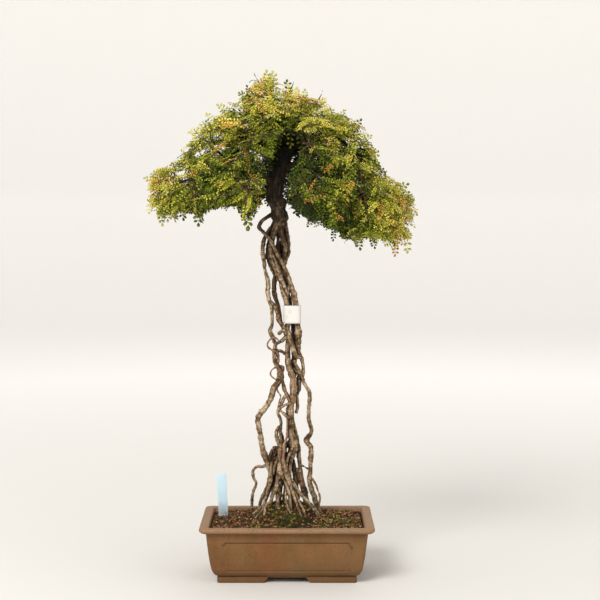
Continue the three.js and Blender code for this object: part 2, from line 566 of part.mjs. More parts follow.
// Soil: filled to the wall, with a lumpy top, a mound under the roots and plain holes for the stems.
function makeSoil(holes) {
  const around = 18;
  const wallRing = (z) => {
    const corners = potRing(along(CAVITY, z) + GAP, z);
    return Array.from({ length: around }, (_, i) => {
      const place = (i / around) * corners.length;
      const [x0, y0] = corners[Math.floor(place)];
      const [x1, y1] = corners[(Math.floor(place) + 1) % corners.length];
      const share = place % 1;
      return [x0 + (x1 - x0) * share, y0 + (y1 - y0) * share, z];
    });
  };
  const sides = [FLOOR_TOP, 22, 36, 58].map(wallRing);
  const top = [1, 0.75, 0.5, 0.25].map((share) =>
    wallRing(58).map(([x, y]) => {
      const drop = share === 1 ? SOIL_EDGE_DROP : 0;
      return [x * share, y * share, soilHeight(x * share, y * share) - drop];
    }),
  );
  const pockets = [-1, 1].map((side) => {
    const [x, y] = screenMiddle(side);
    const width = SCREEN_SIDE + 2 * GAP;
    return box(width, width, 2 * (SCREEN_THICKNESS + GAP), x, y, FLOOR_TOP);
  });
  return largestPiece(loft([...sides, ...top]).subtract(unite([...pockets, ...holes])));
}

// A flat blade with a point at its foot, leaning a little.
function makeLabel(clearance) {
  const half = LABEL.width / 2 + clearance;
  const outline = [
    [0, LABEL.bottom - clearance], [half, LABEL.bottom + LABEL.point], [half, LABEL.top + clearance],
    [-half, LABEL.top + clearance], [-half, LABEL.bottom + LABEL.point],
  ];
  return barAlongY(outline, LABEL.thickness + 2 * clearance)
    .translate([0, 0, -LABEL.bottom])
    .rotate([0, -LABEL.lean, LABEL.turn])
    .translate([LABEL.x, LABEL.y, LABEL.bottom]);
}

// A band with round ends, wrapped round two roots and just clear of them.
function makeTag() {
  const height = TAG.high - TAG.low;
  const stadium = (grow, depth) => {
    const radius = TAG.halfDepth + grow;
    const straight = TAG.halfLength - TAG.halfDepth;
    const shape = new THREE.Shape();
    shape.absarc(TAG.x + straight, 0, radius, -Math.PI / 2, Math.PI / 2);
    shape.absarc(TAG.x - straight, 0, radius, Math.PI / 2, (3 * Math.PI) / 2);
    return solidOf(new THREE.ExtrudeGeometry(shape, { depth, bevelEnabled: false, curveSegments: 3 }));
  };
  return stadium(TAG.thickness, height)
    .subtract(stadium(0, 3 * height).translate([0, 0, -height]))
    .translate([0, 0, TAG.low]);
}

// One pinnate leaf: leaflets cut to the rib in one arched blade that is thick at the rib.
function leafSolid(length, width, frame) {
  const vertices = [];
  const triangles = [];
  const rib = LEAF_RIB / 2;
  const arch = (x) => LEAF_ARCH * (length / LEAF_LENGTH) * (Math.max(x, 0) / length) ** 2;
  const add = (x, y, z = 0) => {
    const point = new THREE.Vector3(x, y, z - arch(x) - LEAF_FALL * Math.abs(y)).applyMatrix4(frame);
    vertices.push(point.toArray());
    return vertices.length - 1;
  };
  const station = (x) => ({
    top: add(x, 0, rib),
    low: add(x, 0, -rib),
    left: add(x, LEAF_EDGE),
    right: add(x, -LEAF_EDGE),
  });
  const addBothFaces = (isLeft, fan) => {
    for (const [a, b, c] of fan("top")) triangles.push(isLeft ? [a, b, c] : [a, c, b]);
    for (const [a, b, c] of fan("low")) triangles.push(isLeft ? [a, c, b] : [a, b, c]);
  };
  const foot = add(-PETIOLE, 0);
  const places = Array.from({ length: LEAF_PAIRS + 1 }, (_, i) => (FIRST_PAIR + PAIR_STEP * i) * length);
  const stations = places.map((x) => station(x));
  const first = stations[0];
  for (const [a, b] of [["top", "left"], ["left", "low"], ["low", "right"], ["right", "top"]]) {
    triangles.push([foot, first[a], first[b]]);
  }
  for (let i = 0; i < LEAF_PAIRS; i++) {
    const here = stations[i];
    const next = stations[i + 1];
    const step = places[i + 1] - places[i];
    const isEndPair = i === 0 || i === LEAF_PAIRS - 1;
    const reach = (width / 2) * (isEndPair ? LEAFLET.endPairWidth : 1);
    for (const side of ["left", "right"]) {
      const sign = side === "left" ? 1 : -1;
      const near = add(places[i] + LEAFLET.near * step, sign * reach);
      const far = add(places[i] + LEAFLET.far * step, sign * reach * LEAFLET.farWidth);
      addBothFaces(side === "left", (level) => [
        [here[level], near, here[side]],
        [here[level], far, near],
        [here[level], next[level], far],
        [next[level], next[side], far],
      ]);
    }
  }
  const last = stations[LEAF_PAIRS];
  const rest = length - places[LEAF_PAIRS];
  const widest = places[LEAF_PAIRS] + END_LEAFLET.widest * rest;
  const tipLeft = add(widest, width * END_LEAFLET.halfWidth);
  const tipRight = add(widest, -width * END_LEAFLET.halfWidth);
  const tip = add(length, 0);
  addBothFaces(true, (level) => [
    [last[level], tipLeft, last.left],
    [last[level], tip, tipLeft],
    [last[level], tipRight, tip],
    [last[level], last.right, tipRight],
  ]);
  return { solid: solidFrom(vertices, triangles), vertices };
}

// The crown's height over a place, from its left and right outlines turned round its axis and
// flattened in depth. Far out, where the outlines end, there is none.
function crownAt(x, y) {
  const dx = x - CROWN_AXIS;
  const distance = Math.hypot(dx, y / CROWN_DEPTH_RATIO);
  const toRight = 0.5 + 0.5 * (dx / Math.max(distance, 1));
  const blend = (left, right) => left * (1 - toRight) + right * toRight;
  const reach = (outline) => outline[outline.length - 1][0];
  return {
    top: blend(along(CROWN_TOP_LEFT, distance), along(CROWN_TOP_RIGHT, distance)),
    under: blend(along(CROWN_UNDER_LEFT, distance), along(CROWN_UNDER_RIGHT, distance)),
    isWithin: distance < blend(reach(CROWN_TOP_LEFT), reach(CROWN_TOP_RIGHT)),
  };
}

function isInCrown([x, y, z]) {
  const { top, under, isWithin } = crownAt(x, y);
  const isBeforeTrunk = y < 0 && x > OPENING.left && x < OPENING.right && z < OPENING.top;
  return isWithin && z < top && z > under && !isBeforeTrunk;
}

function placeSprays() {
  const ringed = SPRAY_RINGS.flatMap((ring) => {
    const { name, distance, count, turn, below } = ring;
    return Array.from({ length: count }, (_, i) => {
      const angle = THREE.MathUtils.degToRad(turn + (360 / count) * i);
      const x = CROWN_AXIS + distance * Math.cos(angle);
      const y = distance * CROWN_DEPTH_RATIO * Math.sin(angle);
      const title = count > 1 ? `${name}_${i + 1}` : name;
      return { ...ring, name: title, x, y, z: crownAt(x, y).top - below };
    });
  });
  const hanging = HANGING_SPRAYS.map((spray, i) => ({ ...HANGING, ...spray, name: `hanging_${i + 1}` }));
  return [...ringed, ...hanging];
}

const SPRAYS = placeSprays();

// Room between a point and the wall that parts one spray's space from its neighbours.
function roomInCell(point, own) {
  const power = ({ x, y, z, reach }) => Math.hypot(point[0] - x, point[1] - y, point[2] - z) ** 2 - reach ** 2;
  const rooms = SPRAYS.filter((other) => other !== own).map((other) => {
    const apart = Math.hypot(other.x - own.x, other.y - own.y, other.z - own.z);
    return (power(other) - power(own)) / (2 * apart);
  });
  return Math.min(...rooms);
}

function nearestOnLimbs(centre) {
  let best = null;
  for (const route of [TRUNK.slice(0, 6), ...Object.values(LIMBS)]) {
    const curve = smoothLine(route);
    for (let i = 2; i <= 20; i++) {
      const point = curve.getPoint(i / 20);
      const away = point.distanceTo(centre);
      if (!best || away < best.away) best = { point, away };
    }
  }
  return best.point;
}

// The twig from the nearest limb into a spray's heart.
function twigRoute({ x, y, z, reach }) {
  const centre = new THREE.Vector3(x, y, z);
  const start = nearestOnLimbs(centre);
  const shortOfCentre = 1 - TWIG.stopShort / start.distanceTo(centre);
  const end = start.clone().lerp(centre, Math.max(TWIG.leastShare, shortOfCentre));
  const middle = start.clone().lerp(end, 0.5);
  middle.z += TWIG.rise * start.distanceTo(end);
  const thick = TWIG.radius + TWIG.radiusForReach * reach;
  return [[...start, thick], [...middle, thick * TWIG.middle], [...end, thick * TWIG.end]];
}

// A spray: a small heart round the end of its twig, and compound leaves that stand out of it.
function makeSpray(own, index, woodHole) {
  const { x, y, z, reach, leaves: wanted, droop } = own;
  const random = seededRandom(FIRST_SEED + SEED_STEP * index);
  const centre = new THREE.Vector3(x, y, z);
  const flat = new THREE.Vector3(1, 1, CORE_FLATNESS);
  const core = reach - CORE_INSIDE_REACH;
  const heart = new THREE.IcosahedronGeometry(core, 0);
  heart.rotateZ(random() * Math.PI).scale(...flat);
  const leaves = [];
  const outward = new THREE.Vector3(x - CROWN_AXIS, y, z - CROWN_MIDDLE).normalize();
  const side = new THREE.Vector3(-outward.y, outward.x, 0.01).normalize();
  const upper = new THREE.Vector3().crossVectors(outward, side);
  for (let attempt = 0; attempt < LEAF_TRIES && leaves.length < wanted; attempt++) {
    const polar = Math.acos(1 - SPRAY_SPREAD * ((leaves.length + random()) / wanted));
    const turn = SPRAY_TURN * (leaves.length + random());
    const facing = outward
      .clone()
      .multiplyScalar(Math.cos(polar))
      .addScaledVector(side, Math.sin(polar) * Math.cos(turn))
      .addScaledVector(upper, Math.sin(polar) * Math.sin(turn));
    const base = facing.clone().multiply(flat).multiplyScalar(core * LEAF_SINK).add(centre);
    const wander = new THREE.Vector3(random() - 0.5, random() - 0.5, random() - 0.5 - droop);
    const ahead = facing
      .clone()
      .multiplyScalar(LEAF_AIM.facing)
      .addScaledVector(outward, LEAF_AIM.outward)
      .addScaledVector(wander, LEAF_AIM.wander)
      .normalize();
    const normal = facing.clone().multiplyScalar(LEAF_UPRIGHT.facing);
    normal.z += LEAF_UPRIGHT.up;
    const across = new THREE.Vector3().crossVectors(normal, ahead).normalize();
    normal.crossVectors(ahead, across);
    const frame = new THREE.Matrix4().makeBasis(ahead, across, normal).setPosition(base);
    const size = (0.9 + 0.2 * random()) * (1 - ((1 - SMALLEST_LEAF) * attempt) / LEAF_TRIES);
    const leaf = leafSolid(LEAF_LENGTH * size, LEAF_WIDTH * size, frame);
    const fits = leaf.vertices.every((vertex) => isInCrown(vertex) && roomInCell(vertex, own) > GAP);
    const isFree = fits && [woodHole, ...leaves].every((other) => other.intersect(leaf.solid).isEmpty());
    if (isFree) leaves.push(leaf.solid);
  }
  const whole = unite([solidOf(heart).translate([x, y, z]), ...leaves]);
  return largestPiece(whole.subtract(woodHole));
}

// Wood, and the same wood grown by a clear distance, which cuts what it passes through.
function makeWood(clearance) {
  const routes = [TRUNK, ...Object.values(ROOTS), ...Object.values(LIMBS), ...SPRAYS.map(twigRoute)];
  return unite(routes.map((route) => tube(route, clearance)));
}

const wood = makeWood(0);
const woodHole = makeWood(GAP + 0.05);

const plant = new THREE.Group();
plant.add(meshOf("pot", makePot(), CLAY));
plant.add(meshOf("soil", makeSoil([woodHole, makeLabel(GAP)]), EARTH));
plant.add(meshOf("drain_mesh_left", makeScreen(-1), BLACK_MESH));
plant.add(meshOf("drain_mesh_right", makeScreen(1), BLACK_MESH));
plant.add(meshOf("trunk_and_roots", wood, BARK));
plant.add(meshOf("plant_label", makeLabel(0), BLUE_LABEL));
plant.add(meshOf("trunk_tag", makeTag(), WHITE_BAND));
SPRAYS.forEach((spray, index) => {
  plant.add(meshOf("spray_" + spray.name, makeSpray(spray, index, woodHole), FOLIAGE));
});

// The whole plant is moved so that the origin is the bottom centre of its box.
const bounds = new THREE.Box3().setFromObject(plant);
const middle = bounds.getCenter(new THREE.Vector3());
plant.position.set(-middle.x, -middle.y, 0);

const root = new THREE.Group();
root.add(plant);

export default root;
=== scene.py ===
import json
import math
import random

import bmesh
import bpy
import numpy as np
from bpy.props import FloatProperty, FloatVectorProperty, IntProperty, PointerProperty
from mathutils import Matrix, Vector, noise
from mathutils.bvhtree import BVHTree

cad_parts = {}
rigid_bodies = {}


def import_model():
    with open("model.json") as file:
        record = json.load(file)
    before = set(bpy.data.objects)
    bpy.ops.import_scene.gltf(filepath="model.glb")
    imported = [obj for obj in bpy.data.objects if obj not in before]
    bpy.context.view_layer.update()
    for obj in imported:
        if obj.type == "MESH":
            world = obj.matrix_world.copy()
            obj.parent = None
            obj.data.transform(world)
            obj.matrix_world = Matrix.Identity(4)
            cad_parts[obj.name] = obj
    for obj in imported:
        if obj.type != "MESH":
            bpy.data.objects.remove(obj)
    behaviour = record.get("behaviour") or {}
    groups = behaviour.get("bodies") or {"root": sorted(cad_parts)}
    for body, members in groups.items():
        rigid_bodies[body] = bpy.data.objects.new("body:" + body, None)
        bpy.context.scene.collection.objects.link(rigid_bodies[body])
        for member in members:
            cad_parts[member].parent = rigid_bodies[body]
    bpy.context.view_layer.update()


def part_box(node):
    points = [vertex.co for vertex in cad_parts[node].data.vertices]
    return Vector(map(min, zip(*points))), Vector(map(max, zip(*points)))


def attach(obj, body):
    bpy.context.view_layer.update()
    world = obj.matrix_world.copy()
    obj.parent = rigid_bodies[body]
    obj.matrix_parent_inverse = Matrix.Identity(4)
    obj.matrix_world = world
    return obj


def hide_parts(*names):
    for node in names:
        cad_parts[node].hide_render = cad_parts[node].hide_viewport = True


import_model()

bl_info = {
    "name": "Zanthoxylum Bonsai",
    "version": (1, 0, 0),
    "blender": (4, 5, 0),
    "location": "3D View > Sidebar > Bonsai",
    "description": "Dresses the frame of an exposed-root bonsai: bark, foliage, soil, pot and labels",
    "category": "Object",
}

MM = 0.001

# Everything below is measured from the pot's centre, in millimetres, the pot's front towards -Y.
POT_LOW, POT_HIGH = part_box("pot")
POT_CENTRE = Vector(((POT_LOW.x + POT_HIGH.x) / 2, (POT_LOW.y + POT_HIGH.y) / 2, 0))

# Pot
POT_WIDTH = 215
POT_DEPTH = 147
POT_HEIGHT = 71
POT_CORNER = 9
RIM_OVERHANG = 8
WALL_LEAN = [(9.5, 12), (12, 9.4), (17, 6.9), (25, 5), (36, 3.2), (63.5, 0)]
CAVITY_FLOOR = 14
CAVITY = [(70, 11.5), (58, 13), (36, 18.2), (22, 20.7), (CAVITY_FLOOR, 24.9)]
FOOT_OUT = (86, 52)
FOOT_THICKNESS = 14
FOOT_HEIGHT = 6.5
FOOT_GAP_LOW = (28.5, 17.5)
FOOT_GAP_HIGH = (23.5, 12.5)
BAND_INSET = 22.5
PANEL_LOW = 16
PANEL_HIGH = 52
PANEL_HALF = {"long": 79, "short": 44}
PANEL_CANT = (3.5, 7)
DRAIN_RADIUS = 8
DRAIN_PLACES = (-42, 42)

# Soil
SOIL_LEVEL = 66.5
MOUND_HEIGHT = 24
MOUND_CENTRE = (0, 8)
MOUND_REACH = (50, 38)
SOIL_LUMP = 0.9

# Plant label and tag
LABEL = {
    "half_width": 6, "half_thickness": 0.5, "top": 123, "bottom": 40, "point": 12, "corner": 1.6,
    "x": -80.5, "y": 20, "lean": 2.5, "turn": 5,
}
TAG = {
    "low": 316.6, "high": 339, "x": 6.15, "straight": 6.05, "radius": 4.45, "thickness": 0.5,
    "lapped": 4, "gap": 0.12,
}

# Crown: (distance from its axis, height) of its outline in the front view, left and right
CROWN_AXIS = -8
CROWN_DEPTH_RATIO = 0.68
CROWN_MIDDLE = 500
CROWN_TOP_LEFT = [(0, 622), (16, 629), (44, 607), (73, 583), (110, 559), (139, 516), (167, 498)]
CROWN_TOP_RIGHT = [
    (0, 622), (20, 611), (51, 596), (80, 574), (105, 560), (121, 530), (146, 492), (171, 480),
]
CROWN_UNDER_LEFT = [
    (0, 478), (24, 477), (43, 438), (60, 462), (89, 465), (107, 446), (145, 444), (167, 470),
]
CROWN_UNDER_RIGHT = [
    (0, 478), (18, 467), (39, 446), (68, 427), (93, 411), (146, 402), (164, 421), (171, 456),
]
# The crown's skyline and its fringe in the front view, as (x, height)
FRONT_TOP = [
    (-176, 488), (-165, 505), (-147, 514), (-123, 535), (-118, 556), (-102, 564), (-81, 582), (-59, 595),
    (-52, 607), (-31, 624), (-20, 629), (-9, 614), (3, 613), (12, 610), (28, 598), (43, 595), (53, 585),
    (72, 573), (88, 566), (97, 558), (106, 543), (112, 530), (113, 512), (120, 508), (138, 491),
    (153, 487), (164, 466),
]
FRONT_UNDER = [
    (-177, 480), (-174, 460), (-166, 458), (-159, 442), (-153, 457), (-148, 461), (-142, 444),
    (-136, 460), (-118, 464), (-111, 442), (-105, 463), (-90, 468), (-62, 466), (-56, 452), (-51, 437),
    (-46, 452), (-40, 466), (-32, 477), (-3, 477), (12, 457), (20, 459), (28, 446), (40, 451), (53, 438),
    (62, 440), (70, 427), (80, 430), (87, 413), (95, 426), (103, 425), (112, 432), (120, 417), (128, 428),
    (137, 404), (144, 421), (151, 406), (155, 424), (163, 452), (166, 470),
]
# Single leaves, listed one by one, as foot x and height, tip x and height, and depth: first those inside the
# opening and behind it, then those that stand out of the outline
FRONDS = [
    (2, 548, 4, 518, 26), (14, 546, 15, 516, 30), (24, 540, 23, 510, 24), (6, 528, 8, 500, 30),
    (18, 524, 17, 496, 26), (28, 520, 27, 492, 22), (-16, 544, -17, 514, 28), (-24, 530, -24, 500, 26),
    (-31, 512, -32, 486, 18), (10, 508, 12, 482, 22), (22, 504, 21, 478, 20), (-14, 520, -14, 492, 34),
    (-6, 556, -10, 532, -20), (6, 560, 5, 537, -24), (15, 556, 17, 532, -20), (-20, 538, -22, 514, -18),
    (33, 534, 31, 508, -10), (29, 514, 28, 490, -12), (38, 506, 36, 482, -16), (-46, 588, -53, 605, -6),
    (-42, 592, -46, 611, -9), (-36, 597, -38, 616, -5), (-50, 582, -58, 595, -4),
    (-32, 602, -30, 623, -8), (6, 595, 4, 612, -10), (12, 592, 14, 609, -6), (-20, 600, -20, 621, -12),
    (-51, 474, -49, 437, -26), (-56, 478, -57, 452, -30), (-89, 480, -89, 464, -24),
    (-112, 468, -110, 441, -16), (-131, 472, -132, 448, -18), (-149, 468, -149, 446, -12),
    (-159, 465, -158, 441, -6), (-170, 474, -173, 456, -3), (-142, 467, -143, 453, -15),
    (-72, 478, -69, 464, -28), (-36, 484, -35, 463, -8), (-27, 482, -24, 465, -4),
    (10, 474, 14, 455, -16), (17, 470, 20, 455, -20), (58, 440, 59, 422, -22), (86, 434, 87, 411, -22),
    (103, 430, 106, 412, -20), (135, 424, 136, 403, -14), (149, 428, 151, 407, -6),
    (143, 462, 161, 453, -4), (139, 440, 153, 431, -6), (-24, 606, -24, 629, -4),
    (-16, 606, -17, 628, -6), (2, 596, 1, 617, -8), (22, 588, 23, 606, -6), (32, 586, 46, 596, -6),
    (78, 552, 91, 569, -6), (90, 541, 103, 551, -6), (94, 538, 113, 528, -6), (105, 515, 121, 508, -6),
    (127, 480, 148, 492, -6), (137, 478, 157, 473, -4), (-68, 578, -85, 588, -8),
    (-104, 552, -99, 569, -10), (-102, 558, -121, 556, -8), (-106, 544, -123, 541, -10),
    (-141, 508, -157, 511, -6), (-150, 503, -164, 509, -4), (-158, 496, -177, 498, -3),
    (-152, 480, -170, 470, -8), (52, 444, 50, 436, -20), (-88, 566, -98, 578, -8), (60, 572, 72, 580, -8),
    (-46, 590, -57, 604, -6),
]
# The opening in the crown's front where the trunk shows: (height, its left side, its right side)
OPENING = [(470, -27, 1), (496, -24, 1), (510, -19, 3), (521, -17, 13), (540, -12, 16), (552, -6, 12)]

# Rings of sprays: name, distance, count, turn in degrees, depth below the crown's top, reach, droop
SPRAY_RINGS = [
    ("apex", 14, 1, 180, 33, 30, 0.0),
    ("top", 50, 5, -54, 30, 31, 0.2),
    ("upper", 92, 8, -67.5, 32, 33, 0.5),
    ("outer", 134, 11, -73.6, 34, 34, 0.7),
]
# Sprays of the hanging fringe: x, y, height, reach
HANGING_SPRAYS = [
    (120, -6, 432, 32), (88, -38, 436, 32), (84, 38, 440, 32), (52, -8, 460, 29), (-54, -26, 478, 29),
]
HANGING_DROOP = 0.9

# Routes of the wood: x, y, height and radius at each point
TRUNK = [
    [-23, 0, 612, 1.6], [-14, -1, 586, 3.6], [-4, -1, 563, 5.2], [3, 0, 541, 6.8], [-1, 0, 525, 7.6],
    [-6.5, 0, 511, 8.2], [-12, 0, 497, 8.8], [-15, 0, 483, 10], [-14.8, 0, 473, 10.4], [-11, 0, 463, 8.8],
    [-9.6, 0, 454, 9.2], [-9, 0, 446, 9.2], [-10, 0, 438, 6],
]

